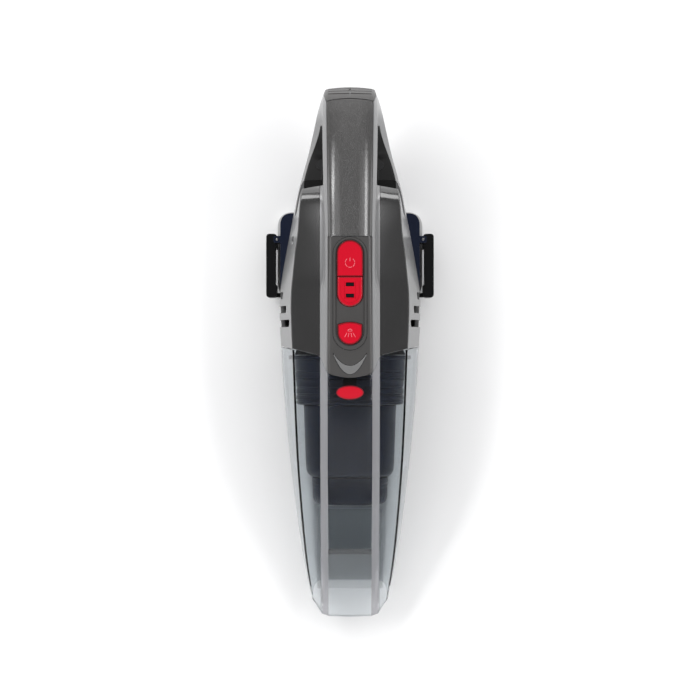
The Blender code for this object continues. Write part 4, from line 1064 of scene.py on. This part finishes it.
# ---- what stays CAD ------------------------------------------------------------------------------------
def finish_cad_nodes():
    """Every CAD node still shown gets its slot's finish, soft edges and smooth faces."""
    slots = {row["node"]: row["material_slot"] for row in frame["record"]["subparts"]}
    for name, ob in frame["nodes"].items():
        ob.data.materials.clear()
        ob.data.materials.append(SLOT_MATERIALS[slots[name]])
        if ob.hide_render:
            continue
        mod = ob.modifiers.new("weld", "WELD")
        mod.merge_threshold = 0.01 * MM
        mod = ob.modifiers.new("soft_edges", "BEVEL")
        mod.width = 0.2 * MM
        mod.segments = 2
        mod.limit_method = "ANGLE"
        mod.angle_limit = math.radians(40)
        mod.harden_normals = True


# ---- studio --------------------------------------------------------------------------------------------
def studio():
    made, tree, shader = new_material("floor_white")
    grain = noise(tree, 60.0, 3.0)
    feed(tree, shader, Base_Color=shade(tree, grain.outputs["Fac"], (0.86, 0.86, 0.86), (0.89, 0.89, 0.89)))
    set_gloss(made, Roughness=0.9)
    bm = bmesh.new()
    bmesh.ops.create_grid(bm, x_segments=8, y_segments=8, size=9000)
    floor = mesh_object("floor", bm, made)
    floor.location.z = -0.0002

    def softbox(name, at, size, power):
        light = bpy.data.lights.new(name, "AREA")
        light.shape = "RECTANGLE"
        light.size, light.size_y = size
        light.energy = power
        ob = bpy.data.objects.new(name, light)
        ob.location = at
        ob.rotation_euler = (Vector((0, 0, 0.05)) - Vector(at)).to_track_quat("-Z", "Y").to_euler()
        bpy.context.scene.collection.objects.link(ob)

    softbox("key", (-1.25, 0.5, 1.5), (1.5, 0.3), 15)
    softbox("fill", (1.3, 0.1, 1.5), (1.5, 0.3), 10)
    softbox("rear", (0.0, 1.6, 0.5), (5.5, 0.5), 34)
    softbox("front", (0.0, -1.6, 0.5), (5.5, 0.4), 15)

    # a pale room: darker where the panels mirror it, and dark above, where the camera hangs
    world = bpy.data.worlds.new("studio")
    bpy.context.scene.world = world
    world.use_nodes = True
    sky = world.node_tree
    where = node(sky, "TexCoord")
    split = node(sky, "SeparateXYZ", Vector=where.outputs["Generated"])
    ramp = node(sky, "ValToRGB", Fac=split.outputs["Z"])
    stops = ((0.0, 0.42), (0.3, 0.22), (0.5, 0.32), (0.7, 1.15), (0.88, 1.1), (0.96, 0.10))
    while len(ramp.color_ramp.elements) < len(stops):
        ramp.color_ramp.elements.new(0.5)
    for element, (position, level) in zip(ramp.color_ramp.elements, stops):
        element.position = position
        element.color = (level, level, level * 1.01, 1)
    sky.links.new(ramp.outputs["Color"], sky.nodes["Background"].inputs["Color"])
    sky.nodes["Background"].inputs["Strength"].default_value = 1.0


def camera():
    """Straight above, with the handle's end up in the picture."""
    data = bpy.data.cameras.new("camera")
    data.angle = 2 * math.atan(VIEW_HALF / VIEW_AT)
    data.clip_end = 20
    ob = bpy.data.objects.new("camera", data)
    ob.location = (0, 0.006, 1.5)
    bpy.context.scene.collection.objects.link(ob)
    bpy.context.scene.camera = ob
    bpy.context.scene.view_settings.view_transform = "Standard"


def main():
    camera()
    studio()
    whole = hull("whole", 0.0, -30, REAR)
    floor = hull("panel_floor", PANEL, -32, REAR - PANEL)
    seat_floor = hull("seat_floor", PANEL + GAP, -32, REAR - PANEL - GAP)
    shells(whole, seat_floor)
    panels(whole, floor)
    finger_well()
    keys()
    clear_bin()
    filter_set()
    duct()
    battery()
    latch(-1, "left")
    latch(1, "right")
    finish_cad_nodes()
    for ob in SCRAP:
        bpy.data.objects.remove(ob)


main()
